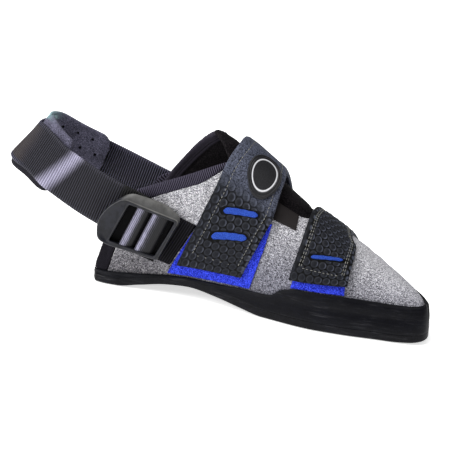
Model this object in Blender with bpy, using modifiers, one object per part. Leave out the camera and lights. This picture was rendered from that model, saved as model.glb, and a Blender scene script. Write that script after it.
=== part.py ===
"""Climbing shoe with an open back.

Felt upper, rubber sole and rand, two hook-and-loop straps and a webbing heel loop with a ladder-lock buckle.

It is a left shoe, toe towards +X, inner (medial) side towards -Y, standing on its sole.
All sizes are in millimetres, and meshes are scaled to metres as they are made. Lengths along the shoe (x)
run from the back end of the sole. The root empty moves the origin to the floor under the ball of the foot.
"""

import math
from collections import namedtuple

import bmesh
import bpy
from mathutils import Matrix, Vector

MM = 0.001

# Driving sizes
LENGTH = 215.0  # sole, from its back end to the toe
BALL_X = 145.0  # ball of the foot, which carries the origin
SOLE_THICK = 5.0
SOLE_BEVEL = 1.0
GAP = 0.3  # clearance where curved pieces meet
FELT_WALL = 2.2
RAND_WALL = 2.0
UPPER_INSET = 2.8  # from the sole's edge in to the outside of the felt
INSOLE_THICK = 2.5
INSOLE_EASE = 1.2  # room between the insole and the felt
BINDING_PROUD = 0.9
BINDING_SHIFT_X = 8.0  # the binding's inner line is the collar line moved by these two
BINDING_SHIFT_Z = -3.0
BINDING_END_X = 88.0  # under the instep strap
TONGUE_WALL = 3.0
TONGUE_EASE = 0.9  # room between the tongue and the felt
TONGUE_SWELL = 2.4  # how far the tongue fills the throat between the felt edges
LOOP_PANEL_WALL = 1.2
STRAP_WALL = 2.8
BADGE_RADIUS = 10.8
BADGE_WALL = 1.6
LABEL_WALL = 0.6
WEB_WIDTH = 30.0
WEB_WALL = 1.8
PAD_WIDTH = 40.0
PAD_WALL = 5.0
BUCKLE_LENGTH = 44.0
BUCKLE_WIDTH = 34.0
BUCKLE_THICK = 4.6
WELD = 0.002

MEDIAL, LATERAL = -1, 1

# Plan outline of the sole: middle of the section and half its width
Outline = namedtuple("Outline", "x centre half_width")
OUTLINE = [
    Outline(0, 0.0, 24.5),
    Outline(3, 0.0, 28.6),
    Outline(10, 0.0, 29.8),
    Outline(30, 1.2, 29.2),
    Outline(60, 3.4, 29.6),
    Outline(90, 4.6, 33.2),
    Outline(118, 4.4, 38.2),
    Outline(145, 3.8, 41.2),
    Outline(165, 2.6, 38.6),
    Outline(185, -1.4, 31.0),
    Outline(200, -7.6, 22.4),
    Outline(209, -13.0, 14.4),
    Outline(215, -18.0, 0.0),
]

# Underside of the sole: two flats on the floor, the arch between them and the toe spring
Underside = namedtuple("Underside", "x height")
UNDERSIDE = [
    Underside(0, 0.0),
    Underside(18, 0.0),
    Underside(32, 2.6),
    Underside(50, 6.0),
    Underside(65, 7.0),
    Underside(82, 5.0),
    Underside(100, 2.0),
    Underside(116, 0.0),
    Underside(192, 0.0),
    Underside(206, 0.6),
    Underside(215, 2.0),
]

# Sections of the last: height and side offset of its ridge, and how full its sides are (2 is an ellipse)
Section = namedtuple("Section", "x ridge ridge_y fullness")
SECTIONS = [
    Section(0, 123, 0.0, 2.3),
    Section(30, 116, 1.0, 2.3),
    Section(65, 104.4, 3.0, 2.25),
    Section(84, 95.5, 3.0, 2.2),
    Section(100, 84.5, 2.0, 2.15),
    Section(112, 76.0, 1.0, 2.1),
    Section(130, 64.0, -0.5, 2.1),
    Section(150, 53.5, -2.5, 2.1),
    Section(174, 41.0, -6.0, 2.1),
    Section(196, 30.5, -12.0, 2.2),
    Section(205, 26.0, -14.5, 2.3),
    Section(210, 22.0, -16.8, 2.4),
    Section(212.2, 15.5, -18.0, 2.4),
]

# Top edge of the quarters, bound with tape, from the sole's back corner to the throat
Collar = namedtuple("Collar", "x height")
COLLAR = [
    Collar(0, 5.5),
    Collar(5, 23.0),
    Collar(13, 46.0),
    Collar(21, 59.5),
    Collar(30, 64.5),
    Collar(56, 76.0),
    Collar(82, 88.0),
    Collar(100, 93.0),
]

# Throat between the felt edges, from the collar forward to its round front end
Throat = namedtuple("Throat", "x inner outer")
THROAT = [
    Throat(90, 8.0, 10.0),
    Throat(102, 10.5, 15.5),
    Throat(112, 11.0, 17.0),
    Throat(128, 9.0, 14.0),
    Throat(136, 6.0, 8.0),
    Throat(140, 0.0, 0.0),
]

# Top edge of the rubber rand
Rand = namedtuple("Rand", "x height")
RAND = [
    Rand(0, 7.6),
    Rand(10, 8.2),
    Rand(50, 14.2),
    Rand(82, 14.2),
    Rand(119, 15.0),
    Rand(127, 21.2),
    Rand(136, 23.4),
    Rand(165, 24.0),
    Rand(190, 23.2),
    Rand(202, 23.4),
    Rand(212.2, 25.6),
]

# A strap across the shoe, a row for each place round it.
# Share -1 is its inner end, 0 the ridge, 1 its outer end.
# Its underside stands off the last by the two lifts, at its back and front edges.
Strap = namedtuple("Strap", "share centre half_width lift_back lift_front")
INSTEP_STRAP = [
    Strap(-1.00, 79.7, 21.4, 1.9, 1.9),
    Strap(-0.77, 89.3, 19.4, 1.9, 2.0),
    Strap(-0.49, 95.6, 17.9, 2.1, 2.9),
    Strap(-0.16, 96.8, 14.9, 2.2, 4.0),
    Strap(0.00, 95.6, 13.9, 2.0, 3.8),
    Strap(0.14, 93.8, 12.9, 2.0, 3.6),
    Strap(0.50, 95.0, 14.0, 1.6, 3.0),
    Strap(1.00, 98.0, 17.0, 0.6, 0.6),
]
FOREFOOT_STRAP = [
    Strap(-1.00, 149.0, 16.5, 1.9, 1.9),
    Strap(-0.62, 149.4, 15.3, 1.9, 1.9),
    Strap(-0.18, 147.6, 14.5, 0.9, 0.9),
    Strap(0.05, 146.2, 13.6, 0.6, 0.6),
    Strap(0.30, 145.0, 12.6, 0.6, 0.6),
    Strap(1.00, 145.0, 14.0, 0.6, 0.6),
]
INSTEP_STRAP_ENDS = (21.4, 20.0)  # heights of the inner and outer ends
FOREFOOT_STRAP_ENDS = (27.6, 27.0)

# Loop panels sewn on the inner side under the strap ends, a row for each share of the way up
Panel = namedtuple("Panel", "share back front")
INSTEP_PANEL = [
    Panel(0.00, 52.4, 106.5),
    Panel(0.20, 60.4, 108.2),
    Panel(0.40, 67.0, 109.9),
    Panel(0.57, 72.6, 111.2),
    Panel(1.00, 84.0, 113.4),
]
FOREFOOT_PANEL = [
    Panel(0.0, 131.8, 165.6),
    Panel(0.5, 135.4, 163.8),
    Panel(1.0, 137.0, 163.0),
]
INSTEP_PANEL_FOOT = 16.6  # height of the panel's lower edge
INSTEP_PANEL_TOP = 45.0  # angle of the panel's upper edge round the last
FOREFOOT_PANEL_TOP = 57.0

# Tongue, a row for each place round it: where its back and front edges are
Tongue = namedtuple("Tongue", "girth back front")
TONGUE = [
    Tongue(-0.48, 88.0, 128.0),
    Tongue(-0.25, 78.0, 138.0),
    Tongue(-0.10, 70.5, 142.0),
    Tongue(0.02, 66.2, 142.5),
    Tongue(0.12, 64.9, 142.5),
    Tongue(0.24, 61.0, 140.0),
    Tongue(0.42, 52.1, 132.0),
    Tongue(0.56, 42.9, 120.0),
    Tongue(0.70, 30.3, 108.0),
    Tongue(0.78, 24.0, 102.0),
]

# Route of the heel loop, from under the buckle round the heel to the outer quarter.
# Lean is the forward tilt of the band, in degrees.
Route = namedtuple("Route", "x y z lean")
FREE_ROUTE = [
    Route(-10, -26.0, 58.8, 20),
    Route(-32, -20.5, 67.2, 25),
    Route(-51, -13.0, 77.6, 34),
    Route(-61.5, -1.0, 84.0, 41),
    Route(-54, 11.5, 80.4, 36),
    Route(-35, 20.5, 70.0, 26),
    Route(-12, 26.5, 60.8, 21),
]
WEB_LEAN = 18.0
WEB_IN = 0.003  # share of the side offset by which the band's top leans in
BUCKLE_X, BUCKLE_Z = 28.6, 42.8
BUCKLE_SLOPE = 19.0  # degrees, down towards the toe
BUCKLE_TURN = 9.0  # degrees, by which its back end stands away from the quarter
BUCKLE_STAND = 8.6  # from the felt to the middle of the buckle
BUCKLE_BARS = [(0.6, 3.3), (11.4, 3.7)]  # place along the buckle and half width of each bar
BAR_FLAT = 0.72  # height of a bar as a share of its width
WEB_UNDER_BUCKLE = [(34.0, 43.6), (22.0, 47.8), (10.0, 51.8)]  # x, height on the inner quarter
WEB_SEWN_OUTER = [(8.0, 54.0), (22.0, 49.4), (40.0, 44.2), (58.0, 39.6)]  # the same on the outer quarter
BAND_STEPS = 72
PAD_FIRST, PAD_LAST = 23, 48  # steps of the band that the heel pad covers


def smooth(rows, column, power=1):
    """A monotone cubic through one column of a table, of the values raised to power."""
    xs = [row[0] for row in rows]
    ys = [getattr(row, column) ** power for row in rows]
    steps = [b - a for a, b in zip(xs, xs[1:])]
    secants = [(b - a) / h for a, b, h in zip(ys, ys[1:], steps)]
    slopes = [secants[0]]
    for left, right in zip(secants, secants[1:]):
        slopes.append(0.0 if left * right <= 0 else 2 * left * right / (left + right))
    slopes.append(secants[-1])

    def value(x):
        x = min(max(x, xs[0]), xs[-1])
        k = max(i for i in range(len(steps)) if xs[i] <= x)
        t = (x - xs[k]) / steps[k]
        start = ys[k] * (1 + 2 * t) + steps[k] * slopes[k] * t
        end = ys[k + 1] * (3 - 2 * t) + steps[k] * slopes[k + 1] * (t - 1)
        return start * (1 - t) ** 2 + end * t**2

    return value


def ease(low, high, x):
    t = min(max((x - low) / (high - low), 0.0), 1.0)
    return t * t * (3 - 2 * t)


outline_centre = smooth(OUTLINE, "centre")
outline_square = smooth(OUTLINE, "half_width", power=2)  # squares make the toe round
underside = smooth(UNDERSIDE, "height")
ridge_height = smooth(SECTIONS, "ridge")
ridge_side = smooth(SECTIONS, "ridge_y")
fullness = smooth(SECTIONS, "fullness")
collar_height = smooth(COLLAR, "height")
throat_square = {MEDIAL: smooth(THROAT, "inner", power=2), LATERAL: smooth(THROAT, "outer", power=2)}
rand_height = smooth(RAND, "height")


def toe_lean(x):
    """How far the outline's edge has turned across the shoe at x: 0 along its sides, 1 at the tip."""
    half = max(math.sqrt(max(outline_square(x), 0.0)), 0.001)
    rate = 2 * (outline_square(x) - outline_square(x - 0.25)) / half
    return max(-rate, 0.0) / math.hypot(1.0, rate)


def edges(x, inset):
    """The inner and outer edges of the plan at x, moved in from the sole's edge by inset."""
    at = x
    for _ in range(30):
        at = min(x + inset * toe_lean(at), LENGTH)
    half = math.sqrt(max(outline_square(at), 0.0)) - inset * math.sqrt(1 - toe_lean(at) ** 2)
    half = half if half > 0.05 else 0.0
    return outline_centre(at) - half, outline_centre(at) + half


def feather(x):
    """Height of the upper's lower edge, just above the sole."""
    return underside(x) + SOLE_THICK + GAP


def last_point(x, side, angle):
    """The outside of the felt at x on one side, from the sole edge (angle 0) to the ridge (90 degrees)."""
    edge = edges(x, UPPER_INSET)[0 if side == MEDIAL else 1]
    power = 2 / fullness(x)
    across = max(math.cos(math.radians(angle)), 0.0) ** power
    up = math.sin(math.radians(angle)) ** power
    y = ridge_side(x) + (edge - ridge_side(x)) * across
    z = feather(x) + (ridge_height(x) - feather(x)) * up
    return Vector((x, y, z))


def girth_point(x, girth):
    """The same surface from the inner sole edge (-1) over the ridge (0) to the outer sole edge (1)."""
    return last_point(x, MEDIAL if girth < 0 else LATERAL, 90 * (1 - abs(girth)))


def angle_at_height(x, height):
    share = (height - feather(x)) / (ridge_height(x) - feather(x))
    return math.degrees(math.asin(min(max(share, 0.0), 1.0) ** (fullness(x) / 2)))


def angle_at_width(x, side, width):
    """The angle at which the surface is this far to the side of the ridge."""
    edge = edges(x, UPPER_INSET)[0 if side == MEDIAL else 1]
    share = min(width / max(abs(edge - ridge_side(x)), width + 0.001), 1.0)
    return math.degrees(math.acos(share ** (fullness(x) / 2)))


def collar_angle(x):
    return angle_at_height(x, collar_height(x))


def binding_inner_angle(x, more=0.0):
    """The binding's inner line, or a line further in by more."""
    lowered = collar_height(x - BINDING_SHIFT_X - more) + BINDING_SHIFT_Z - more
    narrow = ease(BINDING_END_X - 26, BINDING_END_X + 2, x)
    return angle_at_height(x, lowered + (collar_height(x) - 2 * more - lowered) * narrow)


def felt_top_angle(x, side):
    """Top edge of the felt: below the binding, then the throat's edge, then the ridge past the throat."""
    if x >= THROAT[-1].x:
        return 90.0
    throat = angle_at_width(x, side, math.sqrt(max(throat_square[side](x), 0.0)))
    bound = binding_inner_angle(x, more=2 * GAP)
    share = ease(BINDING_END_X, BINDING_END_X + 12, x)
    return max(bound + (throat - bound) * share, 0.0)


def rand_low_angle(x, side):
    return angle_at_height(x, feather(x) + GAP)


def rand_top_angle(x, side):
    return angle_at_height(x, rand_height(x))


def spaced(start, end, count, bunch=1.0):
    """Stations from start to end, closer together towards the end where bunch is over 1."""
    return [end - (end - start) * (1 - i / count) ** bunch for i in range(count + 1)]


def surface_frame(x, side, height):
    """A point on the felt with the directions forward, up along the wall and outward."""
    angle = angle_at_height(x, height)
    here = last_point(x, side, angle)
    ahead = last_point(x + 1, side, angle_at_height(x + 1, height)) - here
    up = last_point(x, side, angle + 1) - here
    forward = ahead.normalized()
    up = (up - forward * up.dot(forward)).normalized()
    return here, forward, up, forward.cross(up) * (1 if side == MEDIAL else -1)


def material(name, colour, roughness, metallic=0.0):
    made = bpy.data.materials.new(name)
    made.use_nodes = True
    shader = made.node_tree.nodes["Principled BSDF"]
    shader.inputs["Base Color"].default_value = (*colour, 1.0)
    shader.inputs["Roughness"].default_value = roughness
    shader.inputs["Metallic"].default_value = metallic
    return made


def add_object(name, bm, finish, root, smooth_angle=40):
    """A bmesh in millimetres made an object in metres under the root."""
    bmesh.ops.scale(bm, vec=(MM, MM, MM), verts=bm.verts)
    mesh = bpy.data.meshes.new(name)
    bm.to_mesh(mesh)
    bm.free()
    mesh.shade_smooth()
    mesh.set_sharp_from_angle(angle=math.radians(smooth_angle))
    mesh.materials.append(finish)
    made = bpy.data.objects.new(name, mesh)
    bpy.data.collections["climbing_shoe"].objects.link(made)
    made.parent = root
    return made


def thicken(obj, wall, outward):
    modifier = obj.modifiers.new("wall", "SOLIDIFY")
    modifier.thickness = wall * MM
    modifier.offset = 1.0 if outward else -1.0
    modifier.use_even_offset = True
    modifier.use_quality_normals = True
    return obj


def bent_grid(bm, columns, rows, place):
    """A grid whose corners run over u and v from 0 to 1, with each corner moved to place(u, v)."""
    made = bmesh.ops.create_grid(bm, x_segments=columns, y_segments=rows, size=1)["verts"]
    for vert in made:
        vert.co = place((vert.co.x + 1) / 2, (vert.co.y + 1) / 2)
    return made


def lift_along_normals(bm, lift):
    """Moves each corner off the surface by lift(x, corner)."""
    bm.normal_update()
    moves = [(vert, vert.normal * lift(vert.co)) for vert in bm.verts]
    for vert, move in moves:
        vert.co += move


def side_skin(stations, low, top, rows, lift):
    """An open surface on the last, on both sides, welded where the sides meet on the ridge and at the toe."""
    bm = bmesh.new()
    last_index = len(stations) - 1
    for side in (MEDIAL, LATERAL):

        def place(u, v, side=side):
            share = u if side == MEDIAL else 1 - u
            x = stations[round(share * last_index)]
            bottom = low(x, side)
            return last_point(x, side, bottom + (top(x, side) - bottom) * v)

        bent_grid(bm, last_index, rows, place)
    bmesh.ops.remove_doubles(bm, verts=bm.verts, dist=WELD)
    bmesh.ops.dissolve_degenerate(bm, edges=bm.edges, dist=WELD)
    lift_along_normals(bm, lambda co: lift)
    return bm


def patch(columns, rows, place, lift):
    """An open surface on the last, lifted off it by lift(u, v)."""
    bm = bmesh.new()
    made = bent_grid(bm, columns, rows, place)
    bm.normal_update()
    lifts = {}
    for index, vert in enumerate(made):
        u, v = (index % (columns + 1)) / columns, (index // (columns + 1)) / rows
        lifts[vert] = vert.normal * lift(u, v)
    for vert, move in lifts.items():
        vert.co += move
    return bm


def loft(rings, close_end=True):
    """A closed solid through rings of points. Without close_end the last ring is flat and welds to a line."""
    bm = bmesh.new()
    loops = [[bm.verts.new(point) for point in ring] for ring in rings]
    count = len(rings[0])
    for near, far in zip(loops, loops[1:]):
        for i in range(count):
            j = (i + 1) % count
            bm.faces.new((near[i], near[j], far[j], far[i]))
    bm.faces.new(loops[0][::-1])
    if close_end:
        bm.faces.new(loops[-1])
    bmesh.ops.remove_doubles(bm, verts=bm.verts, dist=WELD)
    bmesh.ops.dissolve_degenerate(bm, edges=bm.edges, dist=WELD)
    bmesh.ops.recalc_face_normals(bm, faces=bm.faces)
    return bm


def sole_stations(end):
    return [0, 1.2, 3, 6, 10, 18] + spaced(25, 116, 13) + spaced(124, end, 20, bunch=1.7)


def outsole(finish, root):
    def ring(x):
        low, high = underside(x), underside(x) + SOLE_THICK
        inner, outer = edges(x, 0.0)
        bevel = min(SOLE_BEVEL, (outer - inner) / 2)
        middle = (inner + outer) / 2
        return [
            (x, inner + bevel, low),
            (x, middle, low),
            (x, outer - bevel, low),
            (x, outer, low + SOLE_BEVEL),
            (x, outer, high),
            (x, middle, high),
            (x, inner, high),
            (x, inner, low + SOLE_BEVEL),
        ]

    body = loft([ring(x) for x in sole_stations(LENGTH)], close_end=False)
    return add_object("outsole", body, finish, root)


def insole(finish, root):
    inset = UPPER_INSET + FELT_WALL + INSOLE_EASE

    def ring(x):
        low = feather(x)
        inner, outer = edges(x, inset)
        middle = (inner + outer) / 2
        top = low + INSOLE_THICK
        lower = [(x, inner, low), (x, middle, low), (x, outer, low)]
        return lower + [(x, outer, top), (x, middle, top), (x, inner, top)]

    stations = [3, 6, 10, 18] + spaced(25, 116, 9) + spaced(124, LENGTH - inset, 13, bunch=1.7)
    return add_object("insole", loft([ring(x) for x in stations], close_end=False), finish, root)


def wall_stations():
    """Stations shared by the felt and the rand, so that their facets lie side by side."""
    quarter = spaced(30, BINDING_END_X, 8) + spaced(95, 119, 4)
    vamp = spaced(123, 140, 6, bunch=1.5) + spaced(146, 204, 9, bunch=1.2)
    return quarter + vamp + spaced(205.2, LENGTH - UPPER_INSET, 9, bunch=1.4)


def upper(finish, root):
    stations = [10.4, 11.6, 13, 15.5, 18, 21, 25] + wall_stations()
    bm = side_skin(stations, lambda x, side: 0.0, felt_top_angle, 10, 0.0)
    return thicken(add_object("upper", bm, finish, root), FELT_WALL, outward=False)


def rand(finish, root):
    stations = [0.8, 5, 10.4, 15.5, 21] + wall_stations()
    bm = side_skin(stations, rand_low_angle, rand_top_angle, 5, 1.5 * GAP)
    return thicken(add_object("rand", bm, finish, root), RAND_WALL, outward=True)


def collar_binding(name, side, finish, root):
    stations = [0.9, 2, 3.5, 5, 7, 9, 11, 13, 15.5, 18, 21, 25] + spaced(30, BINDING_END_X, 8)
    last_index = len(stations) - 1

    def place(u, v):
        share = u if side == MEDIAL else 1 - u
        x = stations[round(share * last_index)]
        low = max(binding_inner_angle(x), rand_floor_angle(x))
        return last_point(x, side, low + (collar_angle(x) - low) * v)

    bm = patch(last_index, 2, place, lambda u, v: -FELT_WALL)
    return thicken(add_object(name, bm, finish, root), FELT_WALL + BINDING_PROUD, outward=True)


def rand_floor_angle(x):
    """Lowest place of the binding, just above the rand's top edge."""
    return angle_at_height(x, rand_height(x) + GAP)


def tongue_swell(x, girth):
    """How far the tongue stands up between the felt edges, in the throat."""
    past_edge = 90 * (1 - abs(girth)) - felt_top_angle(x, MEDIAL if girth < 0 else LATERAL)
    return TONGUE_SWELL * ease(8, 18, past_edge) * ease(94, 108, x) * (1 - ease(126, 136, x))


def tongue(finish, root):
    back, front = smooth(TONGUE, "back"), smooth(TONGUE, "front")
    low, high = TONGUE[0].girth, TONGUE[-1].girth

    def place(u, v):
        girth = low + (high - low) * v
        return girth_point(back(girth) + (front(girth) - back(girth)) * u, girth)

    def lift(u, v):
        girth = low + (high - low) * v
        x = back(girth) + (front(girth) - back(girth)) * u
        return tongue_swell(x, girth) - FELT_WALL - TONGUE_EASE

    bm = patch(12, 18, place, lift)
    return thicken(add_object("tongue", bm, finish, root), TONGUE_WALL, outward=False)


def instep_panel_angle(x, share):
    low = angle_at_height(x, INSTEP_PANEL_FOOT)
    return low + (INSTEP_PANEL_TOP - low) * share


def forefoot_panel_angle(x, share):
    low = angle_at_height(x, rand_height(x) + 2 * GAP)
    return low + (FOREFOOT_PANEL_TOP - low) * share


def loop_panel(name, table, angle, finish, root):
    back, front = smooth(table, "back"), smooth(table, "front")

    def place(u, v):
        x = back(v) + (front(v) - back(v)) * u
        return last_point(x, MEDIAL, angle(x, v))

    bm = patch(10, 6, place, lambda u, v: GAP)
    return thicken(add_object(name, bm, finish, root), LOOP_PANEL_WALL, outward=True)


def strap_point(ends, x, share):
    """The last at x, at a share of the way round from a strap's inner end (-1) to its outer end (1)."""
    side = MEDIAL if share < 0 else LATERAL
    low = angle_at_height(x, ends[0] if share < 0 else ends[1])
    return last_point(x, side, 90 + (low - 90) * abs(share))


def strap_lift(table, share, across):
    """Height of the strap's underside over the last, across its width from back (0) to front (1)."""
    back, front = smooth(table, "lift_back")(share), smooth(table, "lift_front")(share)
    return back + (front - back) * across


def strap(name, table, ends, finish, root):
    centre, half = smooth(table, "centre"), smooth(table, "half_width")

    def place(u, v):
        share = 2 * v - 1
        return strap_point(ends, centre(share) + half(share) * (2 * u - 1), share)

    bm = patch(6, 24, place, lambda u, v: strap_lift(table, 2 * v - 1, u))
    return thicken(add_object(name, bm, finish, root), STRAP_WALL, outward=True)


def badge(finish, root):
    """A plain round disc on the instep strap, bent to the strap."""
    at_x, at_share, share_per_mm = 100.5, -0.27, 0.0187
    centre, half = smooth(INSTEP_STRAP, "centre"), smooth(INSTEP_STRAP, "half_width")

    def on_disc(u, v):
        a, b = 2 * u - 1, 2 * v - 1
        along = BADGE_RADIUS * a * math.sqrt(1 - b * b / 2)
        round_it = BADGE_RADIUS * b * math.sqrt(1 - a * a / 2)
        return at_x + along * 0.84, at_share + round_it * share_per_mm

    def place(u, v):
        return strap_point(INSTEP_STRAP_ENDS, *on_disc(u, v))

    def lift(u, v):
        x, share = on_disc(u, v)
        across = (x - centre(share)) / half(share) / 2 + 0.5
        return strap_lift(INSTEP_STRAP, share, across) + STRAP_WALL + GAP

    bm = patch(8, 8, place, lift)
    return thicken(add_object("badge", bm, finish, root), BADGE_WALL, outward=True)


def size_label(finish, root):
    """A bare tag at the throat's inner edge, between the straps."""

    def place(u, v):
        return girth_point(113.6 + 14.5 * u - 1.0 * v, -0.455 + 0.055 * u + 0.15 * v)

    bm = patch(4, 4, place, lambda u, v: GAP)
    return thicken(add_object("size_label", bm, finish, root), LABEL_WALL, outward=True)


def heel_route():
    """Points of the heel band's middle line, with the direction across the band at each."""
    points = []
    for table, side in ((WEB_UNDER_BUCKLE, MEDIAL), (FREE_ROUTE, None), (WEB_SEWN_OUTER, LATERAL)):
        for row in table:
            if side is None:
                points.append((Vector(row[:3]), row.lean))
                continue
            here, _, _, outward = surface_frame(row[0], side, row[1])
            points.append((here + outward * (BINDING_PROUD + 2 * GAP + WEB_WALL / 2), WEB_LEAN))
    return points


def catmull(points, share):
    """A smooth curve through the route at a share of its rows: the place and the lean there."""
    at = share * (len(points) - 1)
    k = min(int(at), len(points) - 2)
    t = at - k
    p0, p1, p2, p3 = (points[min(max(k + i, 0), len(points) - 1)] for i in (-1, 0, 1, 2))

    def blend(a, b, c, d):
        square, cube = 2 * a - 5 * b + 4 * c - d, 3 * b - a - 3 * c + d
        return 0.5 * (2 * b + (c - a) * t + square * t**2 + cube * t**3)

    return blend(p0[0], p1[0], p2[0], p3[0]), blend(p0[1], p1[1], p2[1], p3[1])


def band_frame(route, share):
    """Middle, across and outward directions of the heel band at a share of its route."""
    here, lean = catmull(route, share)
    step = 0.002
    ahead = catmull(route, min(share + step, 1.0))[0] - catmull(route, max(share - step, 0.0))[0]
    along = ahead.normalized()
    up = Vector((math.sin(math.radians(lean)), -WEB_IN * here.y, math.cos(math.radians(lean))))
    across = (up - along * up.dot(along)).normalized()
    return here, across, across.cross(along)


def band(name, first, last, width, inner, wall, finish, root, end_round=0.0):
    """A flat band along steps of the heel route, wall thick, with its inner face at inner from the route."""
    route = heel_route()
    rings = []
    for step in range(first, last + 1):
        here, across, outward = band_frame(route, step / BAND_STEPS)
        short = end_round * max(0.0, 1 - min(step - first, last - step) / 3) ** 2
        half = across * (width / 2 - short)
        near, far = here + outward * inner, here + outward * (inner + wall)
        rings.append([near - half, near + half, far + half, far - half])
    return add_object(name, loft(rings), finish, root)


def buckle_anchor(finish, root):
    """The short webbing that holds the buckle, from the loop panel's edge back under its front bar."""
    panel_back = smooth(INSTEP_PANEL, "back")

    def place(u, v):
        share = 0.03 + 0.37 * v
        behind = 0.5 + 14.0 * (1 - u)
        x = panel_back(share) - behind
        return last_point(x, MEDIAL, instep_panel_angle(x, share) + 0.15 * behind)

    bm = patch(4, 5, place, lambda u, v: GAP)
    return thicken(add_object("buckle_anchor", bm, finish, root), WEB_WALL - 0.4, outward=True)


def mesh_of_curve(curve):
    """The curve's filled solid as a welded mesh object. The curve goes."""
    graph = bpy.context.evaluated_depsgraph_get()
    mesh = bpy.data.meshes.new_from_object(curve.evaluated_get(graph))
    bm = bmesh.new()
    bm.from_mesh(mesh)
    bmesh.ops.remove_doubles(bm, verts=bm.verts, dist=WELD * MM)
    bmesh.ops.recalc_face_normals(bm, faces=bm.faces)
    bm.to_mesh(mesh)
    bm.free()
    made = bpy.data.objects.new(curve.name, mesh)
    bpy.data.objects.remove(curve)
    return made


def buckle_plate():
    """The ladder lock's frame: a rounded plate with its window, its back end the lever."""
    half, side = BUCKLE_LENGTH / 2, BUCKLE_WIDTH / 2
    outer = [
        (half, side - 2.0), (half - 1.6, side - 0.6), (-half + 11, side), (-half + 8.5, side - 0.8),
        (-half + 1.2, side - 8.5), (-half, side - 10.5),
    ]
    outer += [(x, -y) for x, y in reversed(outer)]
    rail, front_bar, lever = 3.4, 3.6, 12.0
    window = [(half - front_bar, side - rail - 0.6), (-half + lever, side - rail)]
    window += [(x, -y) for x, y in reversed(window)]
    data = bpy.data.curves.new("buckle", "CURVE")
    data.dimensions = "2D"
    data.fill_mode = "BOTH"
    round_edge = 0.7
    data.extrude = (BUCKLE_THICK / 2 - round_edge) * MM
    data.bevel_depth = round_edge * MM
    data.bevel_resolution = 1
    for points in (outer, window):
        spline = data.splines.new("POLY")
        spline.points.add(len(points) - 1)
        spline.use_cyclic_u = True
        for point, (x, y) in zip(spline.points, points):
            point.co = (x * MM, y * MM, 0, 1)
    curve = bpy.data.objects.new("buckle_plate", data)
    bpy.context.scene.collection.objects.link(curve)
    bpy.context.view_layer.update()
    return mesh_of_curve(curve)


def buckle(finish, root):
    """A moulded ladder lock: the frame and its two cross bars in one solid, lying on the inner quarter."""
    here, forward, up, outward = surface_frame(BUCKLE_X, MEDIAL, BUCKLE_Z)
    turn = Matrix.Rotation(math.radians(BUCKLE_TURN), 3, up)
    facing = turn @ outward
    tilt = Matrix.Rotation(-math.radians(BUCKLE_SLOPE), 3, facing)
    axis_x, axis_y = tilt @ turn @ forward, tilt @ up
    place = Matrix((axis_x, axis_y, facing)).transposed().to_4x4()
    place.translation = (here + outward * BUCKLE_STAND) * MM
    made = buckle_plate()
    made.name = "buckle"
    made.data.name = "buckle"
    made.data.materials.clear()
    made.data.materials.append(finish)
    made.data.shade_smooth()
    made.data.set_sharp_from_angle(angle=math.radians(40))
    bpy.data.collections["climbing_shoe"].objects.link(made)
    made.parent = root
    made.matrix_local = place
    for name, (x, radius) in zip(("back_bar", "front_bar"), BUCKLE_BARS):
        bm = bmesh.new()
        bmesh.ops.create_cone(
            bm, cap_ends=True, segments=12, radius1=radius * MM, radius2=radius * MM,
            depth=(BUCKLE_WIDTH - 3.6) * MM,
            matrix=Matrix.Diagonal((1, 1, BAR_FLAT, 1)) @ Matrix.Rotation(math.radians(90), 4, "X"),
        )
        mesh = bpy.data.meshes.new(name)
        bm.to_mesh(mesh)
        bm.free()
        bar = bpy.data.objects.new(name, mesh)
        bpy.data.collections["buckle_bars"].objects.link(bar)
        bar.parent = made
        bar.location = (x * MM, 0, 0.5 * MM)
        bar.hide_render = True
        bar.display_type = "WIRE"
        join = made.modifiers.new("join " + name, "BOOLEAN")
        join.operation = "UNION"
        join.object = bar
    return made


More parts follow.
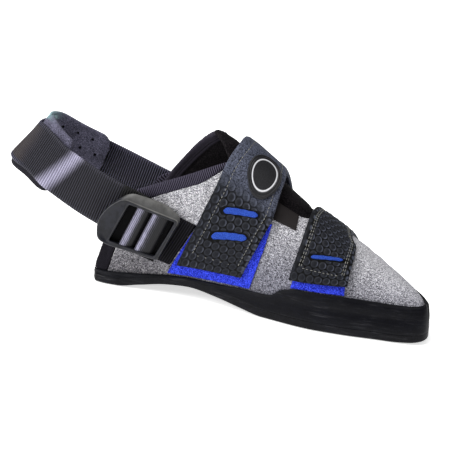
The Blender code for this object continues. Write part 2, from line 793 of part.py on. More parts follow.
def main():
    for obj in list(bpy.data.objects):
        bpy.data.objects.remove(obj)
    for name in ("climbing_shoe", "buckle_bars"):
        bpy.context.scene.collection.children.link(bpy.data.collections.new(name))
    root = bpy.data.objects.new("shoe_root", None)
    root.location = (-BALL_X * MM, 0, 0)
    bpy.data.collections["climbing_shoe"].objects.link(root)
    bpy.context.view_layer.update()

    rubber = material("black_rubber", (0.016, 0.016, 0.020), 0.55)
    badge_rubber = material("badge_rubber", (0.016, 0.016, 0.020), 0.5)
    felt = material("grey_felt", (0.27, 0.27, 0.28), 0.95)
    tape = material("black_tape", (0.012, 0.012, 0.015), 0.85)
    lining = material("black_lining", (0.012, 0.012, 0.014), 0.9)
    blue_loop = material("blue_loop", (0.03, 0.06, 0.72), 0.9)
    strap_hide = material("embossed_strap", (0.018, 0.020, 0.024), 0.6)
    webbing = material("black_webbing", (0.020, 0.019, 0.026), 0.7)
    foam = material("grey_foam", (0.06, 0.055, 0.075), 0.85)
    plastic = material("black_plastic", (0.022, 0.022, 0.026), 0.4)
    board = material("insole_board", (0.03, 0.03, 0.035), 0.9)

    outsole(rubber, root)
    insole(board, root)
    upper(felt, root)
    rand(rubber, root)
    collar_binding("inner_collar_binding", MEDIAL, tape, root)
    collar_binding("outer_collar_binding", LATERAL, tape, root)
    tongue(lining, root)
    loop_panel("instep_loop_panel", INSTEP_PANEL, instep_panel_angle, blue_loop, root)
    loop_panel("forefoot_loop_panel", FOREFOOT_PANEL, forefoot_panel_angle, blue_loop, root)
    strap("instep_strap", INSTEP_STRAP, INSTEP_STRAP_ENDS, strap_hide, root)
    strap("forefoot_strap", FOREFOOT_STRAP, FOREFOOT_STRAP_ENDS, strap_hide, root)
    badge(badge_rubber, root)
    size_label(tape, root)
    band("heel_webbing", 0, BAND_STEPS, WEB_WIDTH, -WEB_WALL / 2, WEB_WALL, webbing, root)
    pad_face = -WEB_WALL / 2 - 2 * GAP - PAD_WALL
    band("heel_pad", PAD_FIRST, PAD_LAST, PAD_WIDTH, pad_face, PAD_WALL, foam, root, 3.0)
    buckle_anchor(webbing, root)
    buckle(plastic, root)


main()
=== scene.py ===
import math

import bmesh
import bpy
import numpy as np
from mathutils import Matrix, Vector


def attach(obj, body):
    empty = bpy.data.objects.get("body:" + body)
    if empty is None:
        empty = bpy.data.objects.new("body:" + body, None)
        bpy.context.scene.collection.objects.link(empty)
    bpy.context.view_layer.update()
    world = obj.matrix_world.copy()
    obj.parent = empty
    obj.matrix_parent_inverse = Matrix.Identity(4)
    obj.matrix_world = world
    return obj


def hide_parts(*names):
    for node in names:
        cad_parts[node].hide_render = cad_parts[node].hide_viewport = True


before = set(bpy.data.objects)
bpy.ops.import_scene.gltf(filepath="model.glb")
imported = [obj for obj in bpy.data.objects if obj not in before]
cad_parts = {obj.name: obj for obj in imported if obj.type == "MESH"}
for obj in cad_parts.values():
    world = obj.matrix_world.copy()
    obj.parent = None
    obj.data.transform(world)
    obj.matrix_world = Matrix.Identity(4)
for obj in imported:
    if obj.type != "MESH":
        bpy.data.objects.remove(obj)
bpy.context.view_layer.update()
print("frame:", len(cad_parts), "solids")

# Sizes in millimetres, as in the solids. x runs from the back end of the sole, the inner side is -y.
shoe = {
    "length": 215.0,
    "ballX": 145.0,
    "soleThick": 5.0,
    "gap": 0.3,
    "feltWall": 2.2,
    "upperInset": 2.8,
    "bindingShift": (8.0, -3.0),
    "bindingEnd": 88.0,
    "outline": [
        (0, 0.0, 24.5), (3, 0.0, 28.6), (10, 0.0, 29.8), (30, 1.2, 29.2), (60, 3.4, 29.6), (90, 4.6, 33.2),
        (118, 4.4, 38.2), (145, 3.8, 41.2), (165, 2.6, 38.6), (185, -1.4, 31.0), (200, -7.6, 22.4),
        (209, -13.0, 14.4), (215, -18.0, 0.0),
    ],
    "underside": [
        (0, 0.0), (18, 0.0), (32, 2.6), (50, 6.0), (65, 7.0), (82, 5.0), (100, 2.0), (116, 0.0), (192, 0.0),
        (206, 0.6), (215, 2.0),
    ],
    "sections": [  # x, ridge height, ridge side, fullness
        (0, 123, 0.0, 2.3), (30, 116, 1.0, 2.3), (65, 104.4, 3.0, 2.25), (84, 95.5, 3.0, 2.2), (100, 84.5, 2.0, 2.15),
        (112, 76.0, 1.0, 2.1), (130, 64.0, -0.5, 2.1), (150, 53.5, -2.5, 2.1), (174, 41.0, -6.0, 2.1),
        (196, 30.5, -12.0, 2.2), (205, 26.0, -14.5, 2.3), (210, 22.0, -16.8, 2.4), (212.2, 15.5, -18.0, 2.4),
    ],
    "collar": [(0, 5.5), (5, 23.0), (13, 46.0), (21, 59.5), (30, 64.5), (56, 76.0), (82, 88.0), (100, 93.0)],
    "throat": [  # x, half width towards the inner and the outer side
        (90, 8.5, 12.0), (102, 13.5, 19.0), (112, 16.0, 23.0), (128, 12.4, 22.5), (136, 7.0, 17.0), (140, 0.0, 0.0),
    ],
    "rand": [
        (0, 7.6), (10, 8.0), (30, 9.6), (50, 11.9), (65, 12.8), (82, 13.0), (100, 13.9), (112, 14.3), (119, 14.8),
        (127, 19.8), (136, 21.8), (165, 22.4), (190, 21.6), (202, 21.5), (207, 21.6), (212.2, 22.8),
    ],
}
inner, outer = -1, 1  # sides of the shoe


def curveThrough(rows, column, power=1):
    xs = np.array([row[0] for row in rows], float)
    ys = np.array([row[column] for row in rows], float) ** power
    steps = np.diff(xs)
    secants = np.diff(ys) / steps
    slopes = np.concatenate([secants[:1], np.zeros(len(xs) - 2), secants[-1:]])
    product, total = secants[:-1] * secants[1:], secants[:-1] + secants[1:]
    rising = product > 0
    slopes[1:-1][rising] = 2 * product[rising] / total[rising]

    def value(x):
        x = np.clip(x, xs[0], xs[-1])
        k = np.clip(np.searchsorted(xs, x, side="right") - 1, 0, len(steps) - 1)
        t = (x - xs[k]) / steps[k]
        start = ys[k] * (1 + 2 * t) + steps[k] * slopes[k] * t
        end = ys[k + 1] * (3 - 2 * t) + steps[k] * slopes[k + 1] * (t - 1)
        return start * (1 - t) ** 2 + end * t**2

    return value


def ease(low, high, x):
    t = np.clip((x - low) / (high - low), 0.0, 1.0)
    return t * t * (3 - 2 * t)


def bell(x, middle, width):
    return np.exp(-(((x - middle) / width) ** 2))


def between(limits, x):
    # rises over the first two limits and falls over the last two
    return ease(limits[0], limits[1], x) * ease(limits[3], limits[2], x)


outlineCentre = curveThrough(shoe["outline"], 1)
outlineSquare = curveThrough(shoe["outline"], 2, 2)
underside = curveThrough(shoe["underside"], 1)
ridgeHeight = curveThrough(shoe["sections"], 1)
ridgeSide = curveThrough(shoe["sections"], 2)
fullness = curveThrough(shoe["sections"], 3)
collarHeight = curveThrough(shoe["collar"], 1)
throatSquare = {inner: curveThrough(shoe["throat"], 1, 2), outer: curveThrough(shoe["throat"], 2, 2)}
randHeight = curveThrough(shoe["rand"], 1)


def toeLean(x):
    half = np.maximum(np.sqrt(np.maximum(outlineSquare(x), 0.0)), 0.001)
    rate = 2 * (outlineSquare(x) - outlineSquare(x - 0.25)) / half
    return np.maximum(-rate, 0.0) / np.hypot(1.0, rate)


def planInset(inset):
    # centre and half width of the plan, moved in from the sole's edge
    length = shoe["length"]
    stations = length * (1 - (1 - np.linspace(0, 1, 5001)) ** 2)
    at = stations.copy()
    for _ in range(30):
        at = np.minimum(stations + inset * toeLean(at), length)
    half = np.sqrt(np.maximum(outlineSquare(at), 0.0)) - inset * np.sqrt(1 - toeLean(at) ** 2)
    half = np.where(half > 0.05, half, 0.0)
    centre = outlineCentre(at)

    def plan(x):
        width = np.sqrt(np.interp(x, stations, half**2))
        return np.interp(x, stations, centre), np.where(x < length - inset - 1e-4, width, 0.0)

    return plan


feltPlan = planInset(shoe["upperInset"])


def feather(x):
    return underside(x) + shoe["soleThick"] + shoe["gap"]


def lastPoint(x, side, angle):
    x, side, angle = np.broadcast_arrays(np.asarray(x, float), side, angle)
    centre, half = feltPlan(x)
    power = 2 / fullness(x)
    across = np.maximum(np.cos(np.radians(angle)), 0.0) ** power
    up = np.maximum(np.sin(np.radians(angle)), 0.0) ** power
    y = ridgeSide(x) + (centre + side * half - ridgeSide(x)) * across
    z = feather(x) + (ridgeHeight(x) - feather(x)) * up
    return np.stack([x, y, z], -1)


def girthPoint(x, girth):
    return lastPoint(x, np.where(girth < 0, inner, outer), 90 * (1 - np.abs(girth)))


def angleAtHeight(x, height):
    share = (height - feather(x)) / (ridgeHeight(x) - feather(x))
    return np.degrees(np.arcsin(np.clip(share, 0.0, 1.0) ** (fullness(x) / 2)))


def angleAtWidth(x, side, width):
    centre, half = feltPlan(x)
    reach = np.abs(centre + side * half - ridgeSide(x))
    share = np.clip(width / np.maximum(reach, width + 0.001), 0.0, 1.0)
    return np.degrees(np.arccos(share ** (fullness(x) / 2)))


def collarAngle(x):
    return angleAtHeight(x, collarHeight(x))


def bindingAngle(x, more=0.0):
    shiftX, shiftZ = shoe["bindingShift"]
    lowered = collarHeight(x - shiftX - more) + shiftZ - more
    narrow = ease(shoe["bindingEnd"] - 26, shoe["bindingEnd"] + 2, x)
    return angleAtHeight(x, lowered + (collarHeight(x) - 2 * more - lowered) * narrow)


def feltTopAngle(x, side):
    throat = angleAtWidth(x, side, np.sqrt(np.maximum(throatSquare[side](x), 0.0)))
    bound = bindingAngle(x, 2 * shoe["gap"])
    top = bound + (throat - bound) * ease(shoe["bindingEnd"], shoe["bindingEnd"] + 12, x)
    return np.where(x >= shoe["throat"][-1][0], 90.0, np.maximum(top, 0.0))


def surfaceFrame(x, side, height):
    angle = angleAtHeight(x, height)
    here = lastPoint(x, side, angle)
    forward = Vector(lastPoint(x + 1, side, angleAtHeight(x + 1, height)) - here).normalized()
    up = Vector(lastPoint(x, side, angle + 1) - here)
    up = (up - forward * up.dot(forward)).normalized()
    return Vector(here), forward, up, forward.cross(up) * (1 if side == inner else -1)


def unit(vectors):
    return vectors / np.maximum(np.linalg.norm(vectors, axis=-1, keepdims=True), 1e-9)


def lifted(points, directions, height):
    return points + directions * np.asarray(height)[..., None]


def outwardFrom(points):
    # directions off a grid that lies on the last
    normals = unit(np.cross(np.gradient(points, axis=0), np.gradient(points, axis=1)))
    x = points[..., 0]
    heart = np.stack([x, ridgeSide(x), feather(x) + 0.3 * (ridgeHeight(x) - feather(x))], -1)
    return normals if np.sum(normals * (points - heart)) > 0 else -normals


def spaced(start, end, count, bunch=1.0):
    return end - (end - start) * (1 - np.linspace(0, 1, count + 1)) ** bunch


def arcLength(points, axis):
    steps = np.linalg.norm(np.diff(points, axis=axis), axis=-1)
    start = np.zeros_like(np.take(steps, [0], axis=axis))
    return np.concatenate([start, np.cumsum(steps, axis=axis)], axis=axis)


def gridFaces(index, closed=False):
    # faces between neighbours in a grid of point numbers; closed joins its last row to its first
    if closed:
        index = np.concatenate([index, index[:1]])
    return np.stack([index[:-1, :-1], index[1:, :-1], index[1:, 1:], index[:-1, 1:]], -1).reshape(-1, 4)


def shell(top, under, rim=3, bulge=0.8):
    # a closed body between two grids, with a round edge: its points, faces and the grid point each came from
    columns, rows = top.shape[:2]
    count = columns * rows
    index = np.arange(count).reshape(columns, rows)
    quads = gridFaces(index)
    loop = np.concatenate([index[:-1, 0], index[-1, :-1], index[:0:-1, -1], index[0, :0:-1]])
    off = np.zeros_like(top)
    off[0] += unit(top[0] - top[1])
    off[-1] += unit(top[-1] - top[-2])
    off[:, 0] += unit(top[:, 0] - top[:, 1])
    off[:, -1] += unit(top[:, -1] - top[:, -2])
    off = unit(off).reshape(-1, 3)[loop]
    above, below = top.reshape(-1, 3), under.reshape(-1, 3)
    middle, half = (above + below)[loop] / 2, (above - below)[loop] / 2
    size = np.linalg.norm(half, axis=-1, keepdims=True) * bulge
    turns = [math.pi * k / (rim + 1) for k in range(1, rim + 1)]
    rings = [middle + half * math.cos(turn) + off * size * math.sin(turn) for turn in turns]
    points = np.concatenate([above, below, *rings])
    chain = [loop] + [2 * count + k * len(loop) + np.arange(len(loop)) for k in range(rim)] + [loop + count]
    faces = [quads, quads[:, ::-1] + count]
    for near, far in zip(chain, chain[1:]):
        faces.append(np.stack([near, far, np.roll(far, -1), np.roll(near, -1)], -1))
    faces = np.concatenate(faces)
    normals = np.cross(np.gradient(top, axis=0), np.gradient(top, axis=1))
    if np.sum(normals * (top - under)) < 0:
        faces = faces[:, ::-1]
    source = np.concatenate([index.ravel(), index.ravel(), *([loop] * rim)])
    return points, faces, source


def makePiece(name, points, faces, finishes, node=None, slot=None, marks=None, sharp=None):
    # points in millimetres; marks are three values for each point that the finishes read
    mesh = bpy.data.meshes.new(name)
    moved = (np.asarray(points, float) - (shoe["ballX"], 0, 0)) * 0.001
    mesh.from_pydata(moved.tolist(), [], faces if isinstance(faces, list) else faces.tolist())
    if marks is not None:
        flat = mesh.attributes.new("flat", "FLOAT_VECTOR", "POINT")
        flat.data.foreach_set("vector", np.ravel(marks).astype(np.float32))
    mesh.shade_smooth()
    if sharp:
        mesh.set_sharp_from_angle(angle=math.radians(sharp))
    mesh.update()
    piece = bpy.data.objects.new(name, mesh)
    bpy.context.scene.collection.objects.link(piece)
    for finish in finishes:
        mesh.materials.append(finish.material)
    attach(piece, "root")
    if node:
        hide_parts(node)
    return piece


def facedOut(points, faces):
    # the faces of a closed body, turned so that they look outward
    a, b, c, d = (points[faces[:, k]] for k in range(4))
    volume = np.sum(a * np.cross(b, c)) + np.sum(a * np.cross(c, d))
    return faces if volume > 0 else faces[:, ::-1]


def mergedBody(points, faces, closed=False):
    # makes equal points one; a closed body gets all its faces turned outward
    bm = bmesh.new()
    verts = [bm.verts.new(point) for point in points]
    for face in faces:
        bm.faces.new([verts[k] for k in face])
    bmesh.ops.remove_doubles(bm, verts=bm.verts, dist=0.004)
    if closed:
        bmesh.ops.recalc_face_normals(bm, faces=bm.faces)
    else:
        bmesh.ops.dissolve_degenerate(bm, edges=bm.edges, dist=0.002)
    bm.verts.index_update()
    body = np.array([v.co for v in bm.verts]), [[v.index for v in f.verts] for f in bm.faces]
    bm.free()
    return body


def shellPiece(name, top, under, finish, flat, node, slot, rim=3, bulge=0.8):
    # flat is along, across and relief at each point of the grid
    points, faces, source = shell(top, under, rim, bulge)
    marks = np.stack([np.broadcast_to(part, top.shape[:2]) for part in flat], -1)
    return makePiece(name, points, faces, [finish], node, slot, marks.reshape(-1, 3)[source])


def skinPiece(name, grid, low, high, *others):
    # a shell between two heights above a grid that lies on the last
    normals = outwardFrom(grid)
    return shellPiece(name, lifted(grid, normals, high), lifted(grid, normals, low), *others)


class Value:
    # a socket in a finish; sums on it add Math nodes
    def __init__(self, finish, socket):
        self.finish, self.socket = finish, socket

    def maths(self, operation, *values):
        return self.finish.node("Math", {"operation": operation}, dict(enumerate(values)))

    def __add__(self, other):
        return self.maths("ADD", self, other)

    def __sub__(self, other):
        return self.maths("SUBTRACT", self, other)

    def __rsub__(self, other):
        return self.maths("SUBTRACT", other, self)

    def __mul__(self, other):
        return self.maths("MULTIPLY", self, other)

    __radd__ = __add__
    __rmul__ = __mul__

    def wave(self, pitch):
        # 0 to 1 and back over each pitch
        return self.maths("SINE", self * (2 * math.pi / pitch)) * 0.5 + 0.5

    def size(self):
        return self.maths("ABSOLUTE", self)

    def step(self, low, high):
        return self.finish.node(
            "MapRange", {"interpolation_type": "SMOOTHSTEP"}, {"Value": self, "From Min": low, "From Max": high}
        )


class Finish:
    def __init__(self, name):
        self.material = bpy.data.materials.new(name)
        self.material.use_nodes = True
        self.tree = self.material.node_tree
        self.shader = self.tree.nodes["Principled BSDF"]

    def feed(self, socket, value):
        if isinstance(value, Value):
            self.tree.links.new(value.socket, socket)
        elif isinstance(value, tuple) and socket.type == "RGBA":
            socket.default_value = (*value, 1.0)
        else:
            socket.default_value = value

    def node(self, kind, settings=None, sockets=None, out=0):
        made = self.tree.nodes.new("ShaderNode" + kind)
        for key, value in (settings or {}).items():
            setattr(made, key, value)
        for key, value in (sockets or {}).items():
            self.feed(made.inputs[key], value)
        return Value(self, made.outputs[out])

    def place(self):
        return self.node("TexCoord", out="Object")

    def facing(self, axis):
        # how far the surface looks along x, y or z
        return self.node("SeparateXYZ", None, {0: self.node("NewGeometry", out="Normal")}, axis)

    def flat(self):
        # along, across and relief of the piece, in millimetres
        marks = self.node("Attribute", {"attribute_name": "flat"}, out="Vector")
        return [self.node("SeparateXYZ", None, {0: marks}, out) for out in range(3)]

    def xyz(self):
        place = self.place()
        return [self.node("SeparateXYZ", None, {0: place}, out) * 1000 for out in range(3)]

    def noise(self, grain, detail=2.0, rough=0.5, stretch=None):
        # grain is the size of the mottle in millimetres
        at = self.place()
        if stretch:
            at = self.node("Mapping", None, {"Vector": at, "Scale": stretch})
        return self.node(
            "TexNoise", None, {"Vector": at, "Scale": 1000.0 / grain, "Detail": detail, "Roughness": rough}
        )

    def mix(self, share, first, second, blend="MIX"):
        return self.node(
            "Mix", {"data_type": "RGBA", "blend_type": blend}, {0: share, 6: first, 7: second}, 2
        )

    def bump(self, height, depth, strength=1.0):
        # depth in millimetres
        return self.node("Bump", None, {"Height": height, "Distance": depth * 0.001, "Strength": strength})

    def coat(self, colour, normal, roughness, gloss, others=None):
        values = {"Base Color": colour, "Normal": normal, "Roughness": roughness, "Specular IOR Level": gloss}
        for key, value in {**values, **(others or {})}.items():
            if value is not None:
                self.feed(self.shader.inputs[key], value)
        return self


def tint(red, green, blue):
    return tuple(
        c / 255 / 12.92 if c < 10.3 else ((c / 255 + 0.055) / 1.055) ** 2.4 for c in (red, green, blue)
    )


def feltFinish():
    # salt and pepper felt, with painted shade that makes it darker and browner low at the heel and darker low towards
    # the rand, and painted light on its upward-facing tops towards the toe
    finish = Finish("grey_felt")
    x, _, z = finish.xyz()
    fine = finish.noise(0.6, rough=0.75)
    cell = finish.node("TexVoronoi", {"feature": "F1"}, {"Vector": finish.place(), "Scale": 2400.0}, "Color")
    speck = finish.node("SeparateColor", None, {0: cell})
    # painted light: felt that faces upwards is drawn paler, towards the toe
    paintedTopLight = finish.facing(2).step(0.45, 0.9)
    fibre = finish.noise(0.85, rough=0.6, stretch=(0.5, 1.0, 1.7))
    grain = fine * 0.56 + fibre * 0.26 + speck * 0.18
    # painted shade: darker low down, forward of the heel towards the rand
    low = (1 - (z + x.step(-20, 45) * 15).step(18, 64)) * x.step(-84, -50)
    # painted shade: darker and browner low at the heel
    heelLowShade = (1 - z.step(10, 44)) * (1 - x.step(-118, -60))
    pepper = grain + paintedTopLight * x.step(-10, 40) * 0.035 - low * 0.035 - heelLowShade * 0.04
    colour = finish.mix(pepper.step(0.36, 0.48), tint(26, 25, 31), tint(150, 149, 155))
    colour = finish.mix(pepper.step(0.5, 0.62), colour, tint(240, 239, 242))
    # painted shade low at the heel
    colour = finish.mix(heelLowShade * 0.7, colour, tint(136, 131, 134), "MULTIPLY")
    # painted shade low towards the rand
    colour = finish.mix(low * 0.95, colour, tint(182, 183, 194), "MULTIPLY")
    cloud = finish.noise(12)
    colour = finish.mix(cloud.step(0.4, 0.7) * 0.12, colour, tint(92, 91, 95))
    return finish.coat(
        colour, finish.bump(grain, depth=0.35, strength=0.7),
        roughness=0.95, gloss=0.1, others={"Sheen Weight": 0.1, "Sheen Roughness": 0.6},
    )


def liningFinish(name="black_lining", colour=(10, 10, 14), raised=(30, 29, 38)):
    finish = Finish(name)
    weave = finish.noise(0.7, rough=0.6)
    blotch = finish.noise(9)
    shade = finish.mix(weave.step(0.4, 0.66), tint(*colour), tint(*raised))
    shade = finish.mix(blotch.step(0.4, 0.75) * 0.4, shade, tint(14, 13, 17))
    return finish.coat(shade, finish.bump(weave, depth=0.3, strength=0.7), roughness=0.95, gloss=0.06)


def tapeFinish():
    # ribbed binding tape: slanting ribs across its width
    finish = Finish("black_tape")
    along, across, _ = finish.flat()
    ribs = (along + across * 0.45).wave(1.15)
    yarn = finish.noise(0.45, rough=0.7)
    colour = finish.mix((ribs * 0.75 + yarn * 0.5).step(0.3, 1.0), tint(5, 4, 7), tint(78, 74, 90))
    # painted shade: darker low down on the tape
    low = 1 - finish.xyz()[2].step(24, 56)
    colour = finish.mix(low * 0.8, colour, tint(14, 13, 16))
    relieved = finish.bump(ribs * 0.7 + yarn * 0.4, depth=0.35, strength=0.8)
    return finish.coat(colour, relieved, roughness=0.85, gloss=0.1)


def labelFinish():
    # plain woven tag, brown black
    finish = Finish("woven_label")
    _, across, relief = finish.flat()
    weft = across.wave(0.55)
    yarn = finish.noise(0.4, rough=0.6)
    colour = finish.mix(weft * 0.5 + yarn * 0.5, tint(5, 3, 3), tint(24, 15, 16))
    colour = finish.mix(relief, colour, tint(16, 12, 13))
    relieved = finish.bump(weft * 0.6 + yarn * 0.4, depth=0.08, strength=0.6)
    return finish.coat(colour, relieved, roughness=0.6, gloss=0.25)


def pileFinish():
    finish = Finish("blue_loop")
    fluff = finish.noise(0.6, rough=0.75)
    tuft = finish.noise(1.9, rough=0.6)
    shade = finish.mix((fluff * 0.85 + tuft * 0.15).step(0.4, 0.62), tint(9, 14, 128), tint(70, 90, 255))
    return finish.coat(
        shade, finish.bump(fluff, depth=0.5, strength=0.9),
        roughness=0.95, gloss=0.1, others={"Sheen Weight": 0.2, "Sheen Tint": tint(90, 120, 255)},
    )


def strapFinish(name, plainFrom, border, lean):
    # relief is 1 on top of a bubble and 0 between them; past plainFrom the bubbles give way to a fine weave
    finish = Finish(name)
    along, across, relief = finish.flat()
    grain = finish.noise(0.4, detail=3.0, rough=0.65)
    worn = finish.noise(6, detail=3.0, rough=0.6)
    weave = (along + across).wave(1.0) * 0.5 + (along - across).wave(1.0) * 0.5
    plain = along.step(plainFrom, plainFrom + 14)
    # painted shade: near black in the hollows between the bubbles
    colour = finish.mix(relief.step(0.04, 0.6), tint(1, 1, 1), tint(21, 22, 27))
    rims = relief.step(0.12, 0.36) * (1 - relief.step(0.5, 0.85))
    toeSideHighlight = (finish.facing(0) - lean).step(0.05, 0.32)  # painted highlight on the toe side of each bubble
    # painted highlight on the bubble rims, patchy
    colour = finish.mix(rims * (worn * 0.7 + 0.05) * (toeSideHighlight * 1.3 + 0.2), colour, tint(92, 96, 110))
    colour = finish.mix((1 - across.step(border - 0.8, border)) * (1 - rims), colour, tint(15, 16, 20))
    colour = finish.mix(grain.step(0.52, 0.7) * relief.step(0.1, 0.45) * 0.4, colour, tint(60, 63, 72))
    mottle = finish.noise(0.85, rough=0.7)
    cloth = finish.mix((weave * 0.25 + mottle).step(0.42, 0.82), tint(12, 13, 18), tint(100, 105, 124))
    colour = finish.mix(plain * 0.85, colour, cloth)
    return finish.coat(
        colour, finish.bump(grain + weave * plain * 0.5, depth=0.16, strength=0.7),
        roughness=worn * 0.3 + 0.4, gloss=0.1,
    )


def rubberFinish(name, colour, worn, scuff):
    finish = Finish(name)
    streak = finish.noise(1.6, detail=4.0, rough=0.7, stretch=(0.1, 0.35, 1.7))
    speck = finish.noise(0.45, rough=0.65)
    patch = finish.noise(14, detail=3.0, rough=0.6)
    wear = streak.step(0.52, 0.76) * patch.step(0.3, 0.7)
    shade = finish.mix(speck.step(0.4, 0.7) * 0.7 + patch.step(0.4, 0.75) * 0.3, tint(*colour), tint(*worn))
    shade = finish.mix(wear * scuff, shade, tint(96, 95, 98))
    return finish.coat(
        shade, finish.bump(streak * 0.4 + speck * 0.6, depth=0.14, strength=0.6),
        roughness=wear * 0.2 + patch * 0.2 + 0.4, gloss=0.1,
    )


def webbingFinish(name, dark, light, pitch, shadeTo, highlightAt, gloss=0.2):
    # ribs run across the band; relief is 1 in its selvedges and -1 where a brown reflection is painted
    finish = Finish(name)
    along, across, relief = finish.flat()
    ribs = along.wave(pitch)
    yarn = finish.noise(0.4, rough=0.65)
    plait = (across + along * 0.6).wave(0.9) * 0.5 + (across - along * 0.6).wave(0.9) * 0.5
    edge = relief.step(0.0, 1.0)
    thread = ribs * 0.8 + yarn * 0.4 + plait * edge * 0.4
    paintedFarLight = along.step(highlightAt + 22, highlightAt + 48)  # painted light: paler beyond the bend
    pale = finish.mix(paintedFarLight, tint(*light), tint(*(1.7 * part for part in light)))
    colour = finish.mix(thread.step(0.52, 1.06), tint(*dark), pale)
    # painted reflection: a patchy brown patch
    reflectionPatches = finish.noise(9)
    brownReflection = (0 - relief).step(0.0, 1.0)
    colour = finish.mix(brownReflection * (reflectionPatches * 0.5 + 0.5), colour, tint(46, 40, 38))
    # painted highlight where the band bends over the pad's end
    paintedHighlight = 1 - (along + across * 0.43 - highlightAt).size().step(0.0, 8.5)
    colour = finish.mix(paintedHighlight * (ribs * 0.5 + yarn * 0.7), colour, tint(178, 174, 200))
    colour = finish.mix(1 - along.step(shadeTo - 4, shadeTo), colour, tint(5, 5, 7))
    return finish.coat(colour, finish.bump(thread, depth=0.2, strength=0.6), roughness=0.48, gloss=gloss)


def foamFinish():
    # relief is 1 in the punched holes and -1 on the pale mesh of the upper edge
    finish = Finish("grey_foam")
    along, across, relief = finish.flat()
    knit = finish.noise(0.6, rough=0.65)
    cloud = finish.noise(8)
    colour = finish.mix(knit.step(0.35, 0.7), tint(54, 53, 65), tint(122, 120, 142))
    colour = finish.mix(cloud.step(0.4, 0.7) * 0.4, colour, tint(48, 47, 56))
    mesh = (along + across * 0.5).wave(1.2) * 0.4 + 0.6
    colour = finish.mix((0 - across).step(14.5, 17.0) * 0.92, colour, tint(13, 12, 16))
    colour = finish.mix((0 - relief).step(0.0, 1.0) * mesh * 0.8, colour, tint(146, 180, 182))
    colour = finish.mix(relief.step(0.0, 1.0), colour, tint(6, 6, 8))
    return finish.coat(
        colour, finish.bump(knit, depth=0.25, strength=0.7),
        roughness=0.9, gloss=0.1, others={"Sheen Weight": 0.05},
    )


def plasticFinish():
    # relief is 1 where a highlight is painted on the upper flank; the rims carry a fainter painted highlight
    finish = Finish("black_plastic")
    grain = finish.noise(0.35, rough=0.6)
    haze = finish.noise(5, detail=3.0, rough=0.6)
    relief = finish.flat()[2]
    colour = finish.mix(haze.step(0.3, 0.75), tint(15, 16, 21), tint(31, 32, 40))
    # painted highlight on the upper flank and the rims
    colour = finish.mix(relief * (haze * 0.9 + grain * 0.3), colour, tint(122, 121, 118))
    return finish.coat(colour, finish.bump(grain, depth=0.05, strength=0.5), roughness=haze * 0.2 + 0.26, gloss=0.26)


def barFinish():
    # relief is 1 where a highlight is painted on the ridge; fine grooves run along the bar
    finish = Finish("bar_plastic")
    along, _, relief = finish.flat()
    groove = along.wave(1.1)
    grain = finish.noise(0.55, rough=0.6, stretch=(1.0, 1.0, 0.14))
    colour = finish.mix(groove * 0.6 + grain * 0.4, tint(5, 5, 7), tint(27, 27, 31))
    # painted highlight on the ridge
    colour = finish.mix((relief * (groove * 0.45 + grain * 0.9)).step(0.15, 0.95), colour, tint(160, 158, 182))
    relieved = finish.bump(groove * 0.6 + grain * 0.4, depth=0.1, strength=0.5)
    return finish.coat(colour, relieved, roughness=0.4, gloss=0.25)


def threadFinish(name, dark, light):
    finish = Finish(name)
    twist = finish.noise(0.35, rough=0.6)
    return finish.coat(
        finish.mix(twist.step(0.35, 0.65), tint(*dark), tint(*light)), finish.bump(twist, depth=0.08, strength=0.6),
        roughness=0.8, gloss=0.1,
    )


def badgeFinish():
    # relief is 1 on the pale ring
    finish = Finish("badge_rubber")
    relief = finish.flat()[2]
    grain = finish.noise(0.5, rough=0.6)
    colour = finish.mix(grain.step(0.3, 0.7), tint(14, 14, 16), tint(30, 30, 34))
    colour = finish.mix(relief, colour, tint(206, 206, 210))
    return finish.coat(colour, finish.bump(grain, depth=0.08, strength=0.5), roughness=grain * 0.2 + 0.35, gloss=0.25)


def tongueFinish():
    # relief is 1 on the bound edge
    finish = Finish("tongue_cloth")
    along, across, relief = finish.flat()
    ribs = (along + across * 0.8).wave(1.2)
    weave = finish.noise(0.8, rough=0.6)
    cloth = finish.mix(weave.step(0.4, 0.7), tint(10, 9, 11), tint(34, 30, 33))
    bound = finish.mix(ribs * 0.8 + weave * 0.2, tint(14, 13, 17), tint(68, 64, 76))
    return finish.coat(
        finish.mix(relief, cloth, bound), finish.bump(ribs * relief * 0.6 + weave * 0.4, depth=0.3, strength=0.7),
        roughness=0.9, gloss=0.08,
    )


felt = feltFinish()
lining = liningFinish()
insoleCloth = liningFinish("insole_board", colour=(20, 20, 24), raised=(46, 45, 52))
tape = tapeFinish()
tongueCloth = tongueFinish()
wovenLabel = labelFinish()
pile = pileFinish()
instepHide = strapFinish("embossed_strap", plainFrom=46.0, border=6.0, lean=0.0)
forefootHide = strapFinish("forefoot_strap_hide", plainFrom=300.0, border=3.0, lean=0.17)
soleRubber = rubberFinish("sole_rubber", colour=(5, 5, 7), worn=(27, 27, 33), scuff=0.4)
randRubber = rubberFinish("rand_rubber", colour=(3, 3, 6), worn=(17, 18, 26), scuff=0.25)
anchorWeb = webbingFinish(
    "anchor_webbing", dark=(1, 1, 2), light=(18, 17, 21), pitch=1.6, shadeTo=24.0, highlightAt=-99.0, gloss=0.06
)
foam = foamFinish()
plastic = plasticFinish()
barCover = barFinish()
paleThread = threadFinish("pale_thread", dark=(100, 99, 95), light=(162, 161, 154))
darkThread = threadFinish("dark_thread", dark=(84, 83, 88), light=(140, 138, 146))
blueInlay = threadFinish("blue_inlay", dark=(22, 44, 118), light=(50, 84, 182))
badgeRubber = badgeFinish()
print("finishes made")

